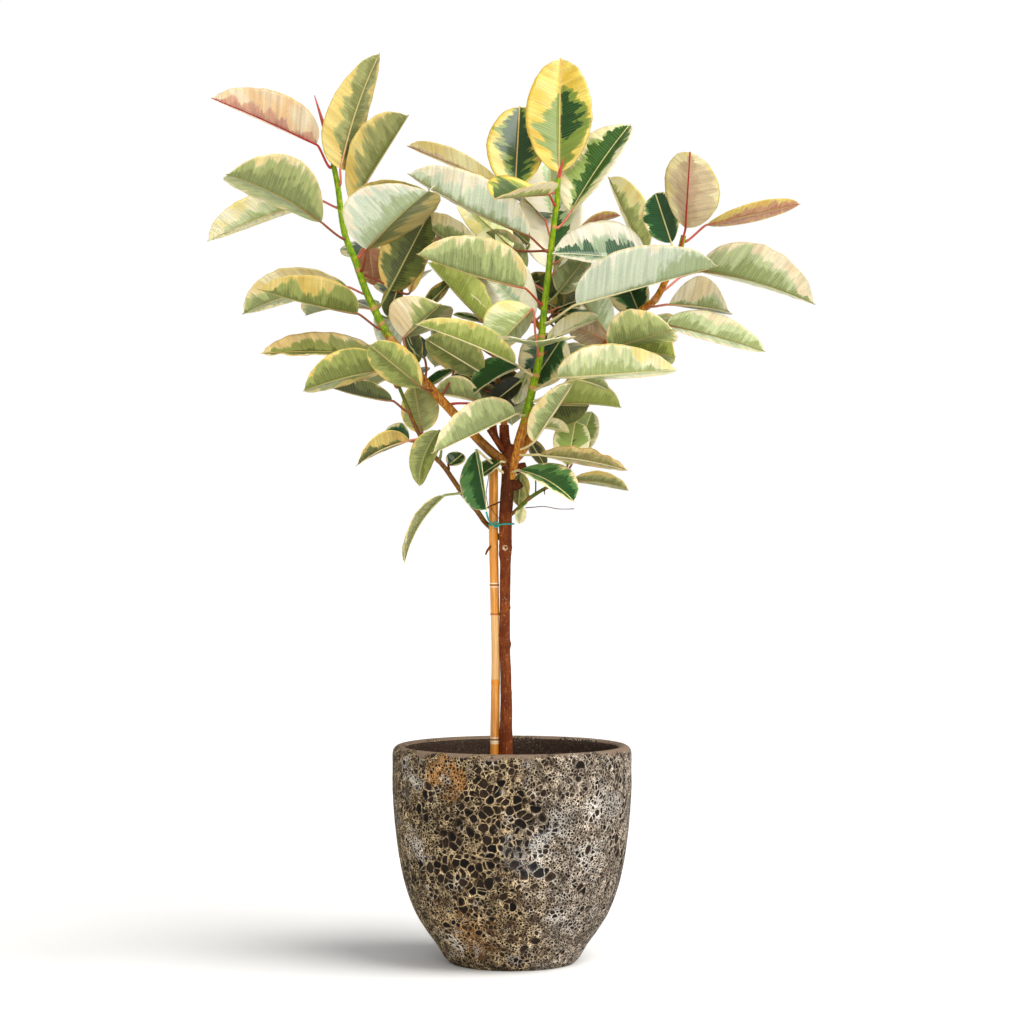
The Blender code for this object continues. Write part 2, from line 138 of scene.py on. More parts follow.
CELLS = ("ShaderNodeTexVoronoi", {}, ("Vector", "Scale"))
STORED, PLACE = ("ShaderNodeAttribute", {}, (), "Vector"), ("ShaderNodeTexCoord", {}, (), "Object")


def node(kind, *values, out=None, **settings):
    """Adds a node to the open tree, fills its inputs in order or by name from a closing dict, and gives an output."""
    kind = (kind,) if isinstance(kind, str) else kind
    kind, fixed, order, usual_out = kind + (None, {}, range(9), 0)[len(kind):]
    made = tree.nodes.new(kind)
    for name, value in {**fixed, **settings}.items():
        setattr(made, name, value)
    named = values[-1] if values and isinstance(values[-1], dict) else {}
    for socket, value in [*zip(order, values[:-1] if named else values), *named.items()]:
        if isinstance(value, bpy.types.NodeSocket):
            tree.links.new(value, made.inputs[socket])
        else:
            made.inputs[socket].default_value = linear(value) if str(value).startswith("#") else value
    return made.outputs[usual_out if out is None else out]


def start_material(name, roughness, ior=1.45, specular=0.5):
    """Opens a new Principled material: its tree and its shader are the ones that the next steps work on."""
    global tree, shader
    made = bpy.data.materials.new(name)
    made.use_nodes = True
    tree = made.node_tree
    shader = tree.nodes["Principled BSDF"]
    for socket, value in (("Roughness", roughness), ("IOR", ior), ("Specular IOR Level", specular)):
        shader.inputs[socket].default_value = value
    return made


def surface(colour, *reliefs):
    """Gives the open material its colour and its fine reliefs, each a height, a strength and a depth in metres."""
    tree.links.new(colour, shader.inputs["Base Color"])
    below = {}
    for height, strength, depth in reliefs:
        inputs = {"Strength": strength, "Distance": depth, "Height": height, **below}
        below = {"Normal": node("ShaderNodeBump", inputs)}
        tree.links.new(below["Normal"], shader.inputs["Normal"])


print("cream as linear light:", [round(c, 3) for c in linear("#efe3bd")])

# %% [markdown]
# ## Floor and light
# A pale floor that runs into a white sky has no horizon. A soft sun from the front right and above stands for
# a large studio softbox: it lights the floor evenly all the way back and lays one soft shadow to the left. A
# weaker, wider one from the front left opens up the undersides of the leaves, and a small window high in front
# gives their waxed sides a glint.

# %% Floor and lights
floor_form = bmesh.new()
bmesh.ops.create_grid(floor_form, x_segments=1, y_segments=1, size=60.0)
floor_mesh = bpy.data.meshes.new("floor")
floor_form.to_mesh(floor_mesh)
floor_form.free()
floor = add_object("floor", floor_mesh)
floor_mesh.materials.append(start_material("white_studio_floor", 0.9, specular=0.0))
shader.inputs["Base Color"].default_value = linear("#f4f4f4")


def add_lamp(name, kind, towards, at=(0, 0, 0), **settings):
    """A lamp that shines along `towards`."""
    lamp = bpy.data.lights.new(name, kind)
    for setting, value in settings.items():
        setattr(lamp, setting, value)
    stand = add_object(name, lamp)
    stand.location = at
    stand.rotation_euler = Vector(towards).to_track_quat("-Z", "Y").to_euler()


add_lamp("key_softbox", "SUN", (-0.70, 0.34, -0.95), energy=3.55, angle=math.radians(50), color=(1.0, 0.985, 0.95))
add_lamp("fill_softbox", "SUN", (0.2, 1.0, -0.16), energy=1.75, angle=math.radians(60), color=(1.0, 0.99, 0.97))
add_lamp("window_softbox", "AREA", (-0.6, 3.1, -1.7), (0.7, -3.2, 3.0), shape="RECTANGLE", size=0.5, size_y=0.9,
         energy=9)

world = bpy.data.worlds.new("studio")
scene.world = world
world.use_nodes = True
tree = world.node_tree
tree.nodes.clear()
seen, ambient = (node("ShaderNodeBackground", (1, 1, 1, 1), strength) for strength in (1.02, 0.33))
straight = node("ShaderNodeLightPath", out="Is Camera Ray")
node("ShaderNodeOutputWorld", node("ShaderNodeMixShader", straight, ambient, seen), out=ALL)
scene.view_settings.view_transform = "Standard"

# %% [markdown]
# ## Helpers for shapes
# Two shapes make nearly the whole plant. A `tube` is a grid rolled round a route, welded along its seam and
# closed at its ends: trunk, cane, branches and stalks. A leaf is a grid bent to a blade, given a skin's
# thickness. Both start from one grid operator, so that their rows follow the growth of the plant.

# %% Mesh helpers


def finish_piece(name, form, materials, stands_for=()):
    """Turns a finished form into an object that rides on the plant."""
    mesh = bpy.data.meshes.new(name)
    form.to_mesh(mesh)
    form.free()
    for material in materials:
        mesh.materials.append(material)
    mesh.polygons.foreach_set("use_smooth", [True] * len(mesh.polygons))
    obj = add_object(name, mesh)
    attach(obj, "root")
    if stands_for:
        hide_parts(*stands_for)
    return obj


def roll_tube(form, centres, radii, sides, material_index=0, layer=None, marks=None, relief=None):
    """Rolls a grid round a route. marks gives each ring a vector to store; relief adds to a point's radius."""
    rows = len(centres)
    made = bmesh.ops.create_grid(form, x_segments=rows - 1, y_segments=sides, size=1)["verts"]
    sideways = None
    for i in range(rows):
        along = (centres[min(i + 1, rows - 1)] - centres[max(i - 1, 0)]).normalized()
        if sideways is None:
            helper = Vector((0, -1, 0)) if abs(along.y) < 0.9 else Vector((0, 0, 1))
            sideways = along.cross(helper).normalized()
        else:
            sideways = (sideways - along * sideways.dot(along)).normalized()
        out = along.cross(sideways)
        for k in range(sides + 1):
            turn = math.tau * (k % sides) / sides
            away = sideways * math.cos(turn) + out * math.sin(turn)
            vert = made[k * rows + i]
            grow = relief(centres[i] + away * radii[i]) if relief else 0.0
            vert.co = centres[i] + away * (radii[i] + grow)
            if marks:
                vert[layer] = marks[i]
    bmesh.ops.remove_doubles(form, verts=made, dist=1e-6)
    made = [v for v in made if v.is_valid]
    faces = {f for v in made for f in v.link_faces}
    edges = [e for e in {e for v in made for e in v.link_edges} if e.is_boundary]
    faces |= set(bmesh.ops.holes_fill(form, edges=edges, sides=sides + 1)["faces"])
    for face in faces:
        face.material_index = material_index
    bmesh.ops.recalc_face_normals(form, faces=list(faces))


print("shape helpers ready")

# %% [markdown]
# ## The pot's glaze
# The pot is stoneware under a thick crater glaze, also called lava glaze: gas boils out of it in the kiln and
# freezes as foam. Big dark bubbles with thin pale walls lie in drifts between fields of finer ones, and a
# dry white bloom, rust and slate tints sit on top. A Voronoi pattern is exactly a foam of cells, so one recipe
# of three cell sizes drives both the relief of the mesh and the colour.

# %% Foam recipe, shared by relief and colour
# of each bubble: its size in mm, the level of noise above which it grows, its walls' width in mm, and its depth
BUBBLES = ((4.8, None, 0.38, 0.25), (8.0, 0.52, 0.45, 0.6), (13.5, 0.61, 0.55, 1.0))
RELIEF_DEPTH = 1.9


def foam(at):
    """The bubbles at a place in millimetres: depth, wall, hollow and chance, 0 to 1."""
    wobble = node(NOISE, at, 1 / 16, 0.0, out="Color")
    wobble = node(V_SCALED, node(V_MINUS, wobble, (0.5, 0.5, 0.5)), 8.0)
    at = node(V_PLUS, at, wobble)
    x, y, z = node(SPLIT, at, out=ALL)
    folded = node(JOIN, x, node(UNSIGNED, y), z)
    drifts = (node(V_DISTANCE, folded, centre) for centre in ((-16, 176, 228), (-72, 150, 152)))
    away = node(LOWER, *drifts)
    coarse = node(SOFT_RANGE, away, 95.0, 30.0, -0.03, 0.2)
    found = None
    for size, threshold, width, deep in BUBBLES:
        edge = node(CELLS, at, 1 / size, feature="DISTANCE_TO_EDGE")
        edge = node(TIMES, edge, size)
        from_heart, colour, heart = node(CELLS, at, 1 / size, out=ALL)[:3]
        chance, luck, _ = node(SPLIT, colour, out=ALL)
        # a bubble is many-sided with thin walls, and the hole burst in it is round
        reach = node(RANGE, chance, {3: 0.3, 4: 0.75})
        inside = node(LOWER, node(TIMES, node(MINUS, reach, from_heart), size), edge)
        corner = node(TIMES, node(MINUS, 0.64, from_heart), size)
        edge = node(LOWER, corner, edge)
        these = (
            node(SOFT_RANGE, edge, width * 0.3, width * 4.0, 0.0, deep),
            node(TIMES, node(SOFT_RANGE, edge, width * 0.6, width * 1.7, 1.0, 0.0),
                 node(SOFT_RANGE, edge, width * -2.6, width * -1.2)),
            node(SOFT_RANGE, inside, width * 1.4, width * 3.0),
            node(RANGE, luck),
        )
        if found is None:
            found = these
            continue
        drift = node(NOISE, heart, 1 / (3.6 * size), 1.5)
        here = node(ABOVE, node(PLUS, drift, coarse), threshold)
        here = node(TIMES, here, node(RANGE, corner, -1.3, -0.6))
        found = [node(MIX, here, fine, this) for fine, this in zip(found, these)]
    return found


print("foam bubbles in mm:", [size for size, *_ in BUBBLES])

# %% [markdown]
# ## The pot
# The wall is one turned section: up the outside from the foot, over the rounded lip, and down the inside. It is
# spun like clay on a wheel. The foam recipe then pushes the outside in by up to 1.9 mm, and it is baked into
# the mesh at once, so that nothing is left live. The untouched place of each point is kept for the glaze.

# %% Turn the pot
pot_outside = [
    (0, 0), (60, 0), (93, 0), (99, 2.5), (105.5, 9), (111, 18), (118.5, 30), (133, 50), (150, 78), (163.5, 113),
    (173.5, 155), (181, 210), (185, 265), (185, 300), (185, 323), (181.5, 331.5), (174, 335), (166, 331.5),
    (163, 323),
]
pot_inside = [(165, 265), (161, 210), (153.5, 155), (143, 113), (129, 78), (111, 52), (86, 32), (70, 18), (0, 18)]
section = [p for side, step in ((pot_outside, 2.9), (pot_inside, 12.0))
           for p in smooth_route([(r, 0.0, z) for r, z in side], step)]
section = [p for i, p in enumerate(section) if i == 0 or math.dist(p, section[i - 1]) > 0.5]
section = [(max(0.0, r), y, max(0.0, z)) for r, y, z in section]

form = bmesh.new()
verts = [form.verts.new(Vector(p) * MM) for p in section]
edges = [form.edges.new(pair) for pair in zip(verts, verts[1:])]
bmesh.ops.spin(form, geom=verts + edges, cent=(0, 0, 0), axis=(0, 0, 1), dvec=(0, 0, 0), angle=math.tau, steps=400,
               use_merge=True, use_duplicate=False)
bmesh.ops.remove_doubles(form, verts=form.verts[:], dist=1e-6)
bmesh.ops.recalc_face_normals(form, faces=form.faces[:])
print("pot section of", len(section), "points, spun to", len(form.faces), "faces")

# %% [markdown]
# ## Glaze colours
# Dark iron-brown lies in the bubbles, deepened with painted shade, and pale ash on their walls. Broad tints follow
# where the glaze ran: rust high on the left, slate in the middle, chalky bloom in drifts. The lip was wiped, so it
# is a smooth grey-brown. The tints are soft balls of colour, the same at the front and, mirrored, at the back.

# %% Crater glaze material
LIP_FROM, LIP_TO, WALL_INSIDE, SOIL_EDGE = 330.0, 335.0, 165.6, 262.0

crater_glaze = start_material("crater_glaze_stoneware", 0.85, ior=1.5, specular=0.2)
at = node(STORED, attribute_name="clay_place")
depth, wall, hole, luck = foam(at)
pos_x, pos_y, pos_z = node(SPLIT, at, out=ALL)
folded = node(JOIN, pos_x, node(UNSIGNED, pos_y), pos_z)
cloudy = node(NOISE, at, 1 / 34, 4.0, 0.62)
cloud_push = node(RANGE, cloudy, 0.3, 0.7, -30.0, 30.0)
mottle = node(NOISE, at, 1 / 5.5, 3.0, 0.65)
grit = node(NOISE, at, 1 / 1.5, 2.0, 0.6)


def tint_patch(centre, reach):
    """1 at the heart of a soft, ragged patch of the glaze and 0 outside it."""
    away = node(PLUS, node(V_DISTANCE, folded, centre), cloud_push)
    return node(SOFT_RANGE, away, reach * 1.15, reach * 0.35)


def most(*shares):
    """The largest of several shares."""
    result = shares[0]
    for share in shares[1:]:
        result = node(HIGHER, result, share)
    return result


def tinted(colour, *tints):
    """Lays tints over a colour, each a share, its strength and a hex value."""
    for share, strength, tint in tints:
        colour = node(BLEND, node(TIMES, share, strength), colour, tint)
    return colour


rust = most(tint_patch((-97, 155, 300), 34), node(TIMES, tint_patch((-72, 130, 56), 52), 0.5))
slate = most(tint_patch((18, 165, 185), 42), node(TIMES, tint_patch((45, 170, 215), 26), 0.8))
bloom = most(*(tint_patch(centre, reach) for centre, reach in (
    ((-146, 105, 195), 26), ((-150, 105, 292), 20), ((-88, 95, 50), 26), ((38, 175, 190), 30), ((72, 165, 238), 30),
    ((135, 120, 255), 38), ((110, 125, 175), 34), ((70, 120, 90), 30),
)))
bloom = most(bloom, node(TIMES, node(SOFT_RANGE, cloudy, 0.56, 0.68), 0.55))
powder = node(TIMES, bloom, node(SOFT_RANGE, mottle, 0.46, 0.58))

worn = node(NOISE, at, 1 / 13, 5.0, 0.8)
worn = node(SOFT_RANGE, worn, 0.38, 0.66)
# the skin and the ridges turn greyer and paler towards +X, the right of the pot
paler_to_the_right = node(SOFT_RANGE, node(PLUS, pos_x, cloud_push), -10.0, 90.0)
skin = node(BLEND, node(RANGE, mottle, 0.38, 0.62), "#140d07", "#3d2c1b")
skin = tinted(skin, (paler_to_the_right, 0.5, "#54493e"), (rust, 0.6, "#7a5026"), (slate, 0.6, "#3c3e42"),
              (powder, 0.6, "#8a8378"))
# the bubble hollows: the glaze's own dark iron, deepened with painted shade
floor_of_hole = node(BLEND, node(RANGE, luck, 0.3, 0.9), "#0e0906", "#32251a")
floor_of_hole = tinted(floor_of_hole, (slate, 0.5, "#2a2c30"))
ridge = node(BLEND, worn, "#4e3822", "#e2c89a")
ridge = tinted(ridge, (paler_to_the_right, 0.6, node(BLEND, worn, "#665a51", "#e6dbd0")), (rust, 0.7, "#c08440"),
               (slate, 0.5, "#7e8084"), (bloom, 0.62, "#e2dbd0"))
glaze = tinted(node(BLEND, hole, skin, floor_of_hole), (wall, 0.95, ridge))
broad = node(NOISE, at, 1 / 55, 3.0, 0.6)
gritty = node(TIMES, node(RANGE, grit, 0.36, 0.64, 0.34, 1.5), node(RANGE, broad, 0.36, 0.64, 0.62, 1.15))
glaze = node(BLEND, 1.0, glaze, node(GREY, gritty, gritty, gritty), blend_type="MULTIPLY")

lip = node(SOFT_RANGE, node(TIMES_PLUS, cloud_push, 0.28, pos_z), LIP_FROM, LIP_TO)
lip_colour = tinted(node(BLEND, mottle, "#33251c", "#7a5d4a"), (grit, 0.6, "#b5a08a"))
radius = node(V_LENGTH, node(JOIN, pos_x, pos_y))
inner = node(TIMES, node(BELOW, radius, WALL_INSIDE), node(ABOVE, pos_z, SOIL_EDGE))
inner_colour = tinted(node(BLEND, mottle, "#1c1410", "#4a372a"), (node(SOFT_RANGE, grit, 0.62, 0.7), 0.6, "#b3a594"))
glaze = node(BLEND, lip, glaze, lip_colour)
glaze = node(BLEND, inner, glaze, inner_colour)
surface(glaze, (node(TIMES_PLUS, depth, -1.0, grit), 0.9, 0.0016))
print("crater glaze:", len(tree.nodes), "nodes")

# %% [markdown]
# ## Bake the relief into the pot
# The same foam recipe runs once as geometry nodes: it keeps each point's first place as an attribute and pushes
# the point inwards along its normal. The result replaces the mesh, so no live modifier remains.

# %% Relief of the pot
pot = finish_piece("crater_glazed_pot", form, [crater_glaze], ["pot"])
tree = bpy.data.node_groups.new("crater_relief", "GeometryNodeTree")
for way in ("INPUT", "OUTPUT"):
    tree.interface.new_socket("Geometry", in_out=way, socket_type="NodeSocketGeometry")
in_mm = node(V_SCALED, node("GeometryNodeInputPosition"), 1000.0)
kept = node("GeometryNodeStoreNamedAttribute",
            {"Geometry": node("NodeGroupInput"), "Name": "clay_place", "Value": in_mm},
            data_type="FLOAT_VECTOR", domain="POINT")
pos_x, pos_y, pos_z = node(SPLIT, in_mm, out=ALL)
radius = node(V_LENGTH, node(JOIN, pos_x, pos_y))
outside = node(ABOVE, radius, node(RANGE, pos_z, 0.0, 120.0, 92.0, 163.0))
below_lip = node(SOFT_RANGE, pos_z, 327.0, 306.0)
off_foot = node(SOFT_RANGE, pos_z, 1.0, 8.0)
share = node(TIMES, node(TIMES, below_lip, off_foot), outside)
push = node(TIMES, node(TIMES, foam(in_mm)[0], -RELIEF_DEPTH * MM), share)
offset = node(V_SCALED, node("GeometryNodeInputNormal"), push)
node("NodeGroupOutput", node("GeometryNodeSetPosition", {"Geometry": kept, "Offset": offset}), out=ALL)
pot.modifiers.new("relief", "NODES").node_group = tree
shown = bpy.data.meshes.new_from_object(pot.evaluated_get(bpy.context.evaluated_depsgraph_get()))
pot.modifiers.clear()
pot.data = shown
print("pot:", len(shown.polygons), "faces, top at", round(max(v.co.z for v in shown.vertices), 4))

# %% [markdown]
# ## Soil
# Potting soil is peat and bark in crumbs of a few millimetres, nearly black when damp. A fine disc is lifted
# into crumbs with noise at three sizes, lying just above the solid's own surface.

# %% Soil
potting_soil = start_material("damp_peat_soil", 0.95)
at = node(PLACE)
crumbs = node(NOISE, at, 1 / 0.006, 4.0, 0.7)
dust = node(NOISE, at, 1 / 0.0018, 2.0)
earth = node(BLEND, node(RANGE, dust, 0.66, 0.72), node(BLEND, crumbs, "#120b07", "#5a3f2a"), "#9a7a55")
surface(earth, (crumbs, 1.0, 0.003))

SOIL_REACH, SOIL_TOP, CROWN_OF_SOIL = 0.1618, 278.5, 3.0
form = bmesh.new()
bmesh.ops.create_grid(form, x_segments=130, y_segments=130, size=0.163)
bmesh.ops.delete(form, geom=[v for v in form.verts if v.co.length > SOIL_REACH], context="VERTS")
for vert in form.verts:
    lump = noise.noise(vert.co * 160) * 1.6 + noise.noise(vert.co * 420) * 1.2 + noise.noise(vert.co * 40) * 2.0
    vert.co.z = (SOIL_TOP - CROWN_OF_SOIL * (vert.co.length / 0.162) ** 2 + lump) * MM
bottom = bmesh.ops.extrude_face_region(form, geom=form.faces[:])
for vert in (g for g in bottom["geom"] if isinstance(g, bmesh.types.BMVert)):
    vert.co.z = SOIL_EDGE * MM
bmesh.ops.recalc_face_normals(form, faces=form.faces[:])
soil = finish_piece("potting_soil_surface", form, [potting_soil], ["soil"])
print("soil faces:", len(soil.data.polygons))

# %% [markdown]
# ## Bark, cane and tie materials
# Young ficus bark is thin and warm brown, with fine upright fibres and pale breathing pores. Bamboo is a
# glossy straw skin with long grain, and with rings at its joints. The tie is coloured plastic over wire.

# %% Woody materials


def between(low, high, soft):
    """1 between two heights in metres, with soft ends."""
    up = node(SOFT_RANGE, height, low - soft, low + soft)
    return node(TIMES, up, node(SOFT_RANGE, height, high - soft, high + soft, 1.0, 0.0))


def drawn_out(across, upright, detail, roughness=0.5):
    """Noise in fibres: its waves per metre across the grain and along it."""
    stretched = node(V_TIMES, at, (across, across, upright))
    return node(NOISE, stretched, 1.0, detail, roughness)


bark = start_material("ficus_bark", 0.85, specular=0.25)
at = node(PLACE)
height = node(SPLIT, at, out=2)
fibres = drawn_out(650.0, 70.0, 4.0, 0.65)
blotch = node(NOISE, at, 45.0, 3.0, 0.6)
wood = node(BLEND, node(RANGE, fibres, 0.3, 0.7), "#2a1004", "#a4521e")
wood = node(BLEND, node(RANGE, blotch, 0.42, 0.62), wood, "#642a0c")
# painted shade: the bark is painted darker from 0.70 to 0.785 m, where the fork and the crown shade the trunk
wood = tinted(wood, (between(0.70, 0.785, 0.02), 0.65, "#301204"))
wood = node(BLEND, node(RANGE, drawn_out(220.0, 420.0, 2.0), 0.66, 0.74, {4: 0.7}), wood, "#c99f77")
surface(wood, (fibres, 0.7, 0.0012))

knot_wood = start_material("pale_knot_callus", 0.7)
grain = node(NOISE, node(PLACE), 500.0, 3.0)
surface(node(BLEND, node(RANGE, grain, 0.35, 0.65), "#8a5b39", "#dcc09a"), (grain, 0.5, 0.0006))

bamboo = start_material("bamboo_skin", 0.36, ior=1.5)
at = node(PLACE)
height = node(SPLIT, at, out=2)
grain = drawn_out(1100.0, 16.0, 3.0, 0.6)
stain = node(NOISE, at, 24.0, 3.0)
tan = node(BLEND, node(RANGE, grain, 0.35, 0.65), "#b8640f", "#f0ae4e")
tan = node(BLEND, node(RANGE, stain, 0.45, 0.7), tan, "#d8861f")
straw = node(BLEND, node(RANGE, grain, 0.3, 0.7), "#d09046", "#f2c586")
bands = [(0.436, 0.536, 0.002, straw), (0.336, 0.3415, 0.001, "#ecd2a4"), (0.427, 0.4355, 0.0006, "#e08a16"),
         (0.536, 0.5385, 0.0006, "#a8591a")]
bands += [(ring - 0.0006, ring + 0.0006, 0.0003, "#f3e6cc") for ring in (0.3405, 0.3455, 0.5795, 0.585)]
bands += [(0.581, 0.5835, 0.0005, "#9a6228"), (0.342, 0.3445, 0.0005, "#8d5a2a")]
for low, high, soft, colour in bands:
    tan = node(BLEND, between(low, high, soft), tan, colour)
surface(tan, (grain, 0.25, 0.0004))

plastic_tie = start_material("teal_plastic_coated_wire", 0.35, ior=1.5)
sheen = node(NOISE, node(PLACE), 300.0, 1.0)
surface(node(BLEND, sheen, "#087266", "#1aa896"))
print("wood, bamboo and tie materials ready")

# %% [markdown]
# ## Green stems
# A shoot is green and smooth while young and turns to brown cork from below. Every fallen leaf leaves a ring
# round the stem. The tube carries three marks for this along its length, how green it is, how near a ring lies
# and how old its bark is, and the material only roughens the border between cork and green.

# %% Shoot material
shoot_skin = start_material("young_ficus_shoot", 0.42, specular=0.25)
at = node(PLACE)
greenness, ringed, aged = node(SPLIT, node(STORED, attribute_name="shoot_marks"), out=ALL)
streak = drawn_out(500.0, 70.0, 3.0, 0.6)
blotch = node(NOISE, at, 110.0, 3.0, 0.65)
streaky = node(RANGE, streak, 0.3, 0.7)
fresh = node(BLEND, streaky, "#447200", "#97b512")
fresh = node(BLEND, node(RANGE, blotch, 0.52, 0.62, {4: 0.6}), fresh, "#b0b41c")
cork = node(BLEND, streaky, "#6a3004", "#e69c34")
cork = node(BLEND, node(RANGE, blotch, 0.5, 0.6, {4: 0.5}), cork, "#8a4208")
turning = node(SOFT_RANGE, node(PLUS, greenness, blotch), 0.93, 1.07)
stem_colour = node(BLEND, turning, cork, fresh)
for share, colour in ((ringed, "#c98a58"), (aged, "#35200e")):
    stem_colour = node(BLEND, share, stem_colour, colour)
surface(stem_colour, (streak, 0.4, 0.0008))

bud_sheath = start_material("red_bud_sheath", 0.35)
at = node(PLACE)
surface(node(BLEND, node(RANGE, drawn_out(900.0, 60.0, 2.0), 0.3, 0.7), "#8a1822", "#dc5540"))
print("shoot materials ready")

# %% [markdown]
# ## Trunk
# The trunk is a slim tube that swells where it forks. Knots from pruned twigs are swellings of its bark, and cut
# stubs stand out at the fork.

# %% Trunk, knots and stubs
TRUNK = [
    (-9.5, 250, 0, 10), (-9.5, 335, 0, 9.6), (-9, 400, 0, 8.2), (-10, 450, 0, 7.6), (-11, 482, 0, 7.4),
    (-10.5, 491, -1, 8.4), (-11, 500, 0, 7.3), (-11, 550, 0, 7.3), (-10.4, 600, 0, 7.6), (-10, 632, 0, 8.6),
    (-10, 641, -1, 9.4), (-10, 650, 0, 9), (-10, 690, 0, 9.4), (-6, 745, 0, 9.8), (-4, 770, 0, 10.8),
    (-1, 787, 0, 11.5), (4, 799, 0, 9.5),
]
STUBS = [
    [(-4, 758, 0, 6), (13, 764, -4, 6.5), (22, 767, -5, 5.5)],
    [(-3, 738, 0, 7), (7, 737, -3, 7.4), (14, 741, -4, 6)],
    [(-6, 780, 3, 8), (-11, 806, 8, 7.6), (-12, 830, 10, 6.4)],
]
BUMPS = [(-7, 640, 5, 1.4), (-17, 630, 9, 1.2), (-13, 489, 7, 1.6), (-19, 505, 4, 1.6), (-4, 548, 4, 1.2),
         (-3, 415, 5, 1.3), (-16, 369, 4, 0.8), (-10, 352, 4, 0.7), (-4, 716, 6, 1.0)]


def bark_relief(point):
    """Fine fibres, slow waves, and a swelling round each knot, in metres."""
    lift = 0.8 + noise.noise(Vector((point.x * 260, point.y * 260, point.z * 40))) * 0.55
    lift += noise.noise(Vector((point.x * 900, point.y * 900, point.z * 120))) * 0.22
    for across, up, reach, height in BUMPS:
        away = math.hypot(point.x / MM - across, point.z / MM - up) / reach
        if away < 1.6 and point.y < 0:
            lift += height * math.exp(-2.5 * away * away)
    return lift * MM


def tube_piece(name, routes, sides, step, material, stands_for, relief=None):
    """One piece of one or more tubes along routes of (across, up, back, radius)."""
    form = bmesh.new()
    for route in routes:
        rows = smooth_route(route, step)
        roll_tube(form, [place(*r[:3]) for r in rows], [r[3] * MM for r in rows], sides, relief=relief)
    return finish_piece(name, form, [material], stands_for)


trunk = tube_piece("woody_trunk", [TRUNK] + STUBS, 28, 2.5, bark, ["trunk"], bark_relief)
print("trunk faces:", len(trunk.data.polygons))

# %% [markdown]
# ## Cane
# A cane is a nearly straight tube whose joints stand a little proud, at the heights where its material has rings.

# %% Cane
CANE = [
    (-26.6, 250, 3, 6.9), (-26.6, 335, 3, 6.9), (-26, 400, 3, 6.5), (-25.2, 475, 3, 6.2),
    (-26.6, 550, 3, 6.5), (-28.5, 650, 3, 6.7), (-28.5, 772, 4, 6.5),
]
JOINTS = (343, 431, 537, 582.5)


def cane_relief(point):
    """A thin skin that swells at each joint, in metres."""
    return (0.4 + sum(0.45 * math.exp(-((point.z / MM - joint) / 2.2) ** 2) for joint in JOINTS)) * MM


cane = tube_piece("bamboo_support_cane", [CANE], 28, 1.6, bamboo, ["bamboo_cane"], cane_relief)
print("cane faces:", len(cane.data.polygons))

# %% [markdown]
# ## Shoots
# Every shoot follows its route. `green_from` says where cork gives way to green, and `rings` where
# old leaves grew. A ring is a small swelling of the tube with its own colour, a few millimetres high.

# %% Shoots and their rings
SHOOTS = {
    "leader": ([
        (0, 746, -8, 4), (2, 764, -9, 6.4), (6, 784, -7, 7.6), (12, 808, -3, 7.8), (20, 835, 0, 7.2),
        (28, 870, 0, 6.4), (35, 900, 0, 6), (42, 930, 0, 5.7), (45, 960, 0, 5.5), (48, 990, 0, 5.4),
        (52, 1030, 0, 5.1), (57, 1070, 0, 5), (60, 1100, 0, 4.8), (65, 1140, 0, 4.4), (70, 1180, 0, 4.1),
        (72, 1213, 0, 3.8)], 838, (888, 907, 940, 967, 1137), "green_stem"),
    "left_branch": ([
        (-4, 768, 2, 7.6), (-16, 776, -6, 8), (-30, 787, -12, 7.9), (-50, 806, -13, 7.4), (-90, 848, -10, 7.1),
        (-130, 892, -12, 6.8), (-150, 915, -13, 6.6), (-170, 943, -14, 6.4), (-188, 963, -15, 6.4),
        (-202, 987, -15, 6.2), (-225, 1035, -15, 5.6), (-243, 1085, -15, 5.2), (-260, 1130, -15, 4.9),
        (-270, 1200, -15, 4.4), (-277, 1234, -15, 4.1)], 968, (963, 987, 1011, 1070), "bark"),
    "right_branch": ([
        (0, 776, 2, 8), (14, 788, 8, 7.4), (40, 832, 28, 6.6), (75, 880, 50, 6.2), (120, 930, 62, 6),
        (165, 975, 60, 6), (197, 1005, 50, 5.8), (222, 1025, 40, 5.6), (240, 1058, 38, 5), (258, 1095, 38, 4.6),
        (266, 1124, 38, 4.2)], 1090, (1025, 1060), "bark"),
    "inner_shoot": ([
        (-11, 820, 12, 5.6), (-14, 846, 14, 5), (-20, 880, 18, 4.6), (-26, 930, 22, 4.4), (-31, 975, 25, 4.6),
        (-33, 994, 26, 3)], 2000, (930, 960), "bark"),
    "left_twig": ([
        (-10, 647, 4, 3.6), (-19, 655, 11, 3.4), (-30, 668, 17.5, 3.8), (-43, 681, 8, 4), (-54, 697, -5, 4),
        (-75, 722, -18, 3.9), (-105, 765, -30, 3.7), (-125, 787, -32, 3.5), (-143, 815, -34, 3.3),
        (-155, 840, -36, 3.1), (-165, 865, -38, 2.9), (-176, 892, -40, 2.6)], 858, (775, 812, 852), "bark"),
    "right_twig": ([
        (-5, 689, -2, 3.2), (5, 697, -6, 2.8), (20, 711, -12, 2.8), (30, 719, -16, 3), (55, 734, -22, 2.6),
        (76, 741, -26, 2.3)], 700, (716, 735), "bark"),
    "rear_shoot": ([
        (47, 975, 3, 4), (30, 1000, 34, 3.8), (0, 1040, 62, 3.4), (-22, 1072, 80, 2.6)], 1000, (1010, 1060), "bark"),
}
TWIG_AGE, FORK_AGE, OLD_BELOW = 0.68, 0.6, 822


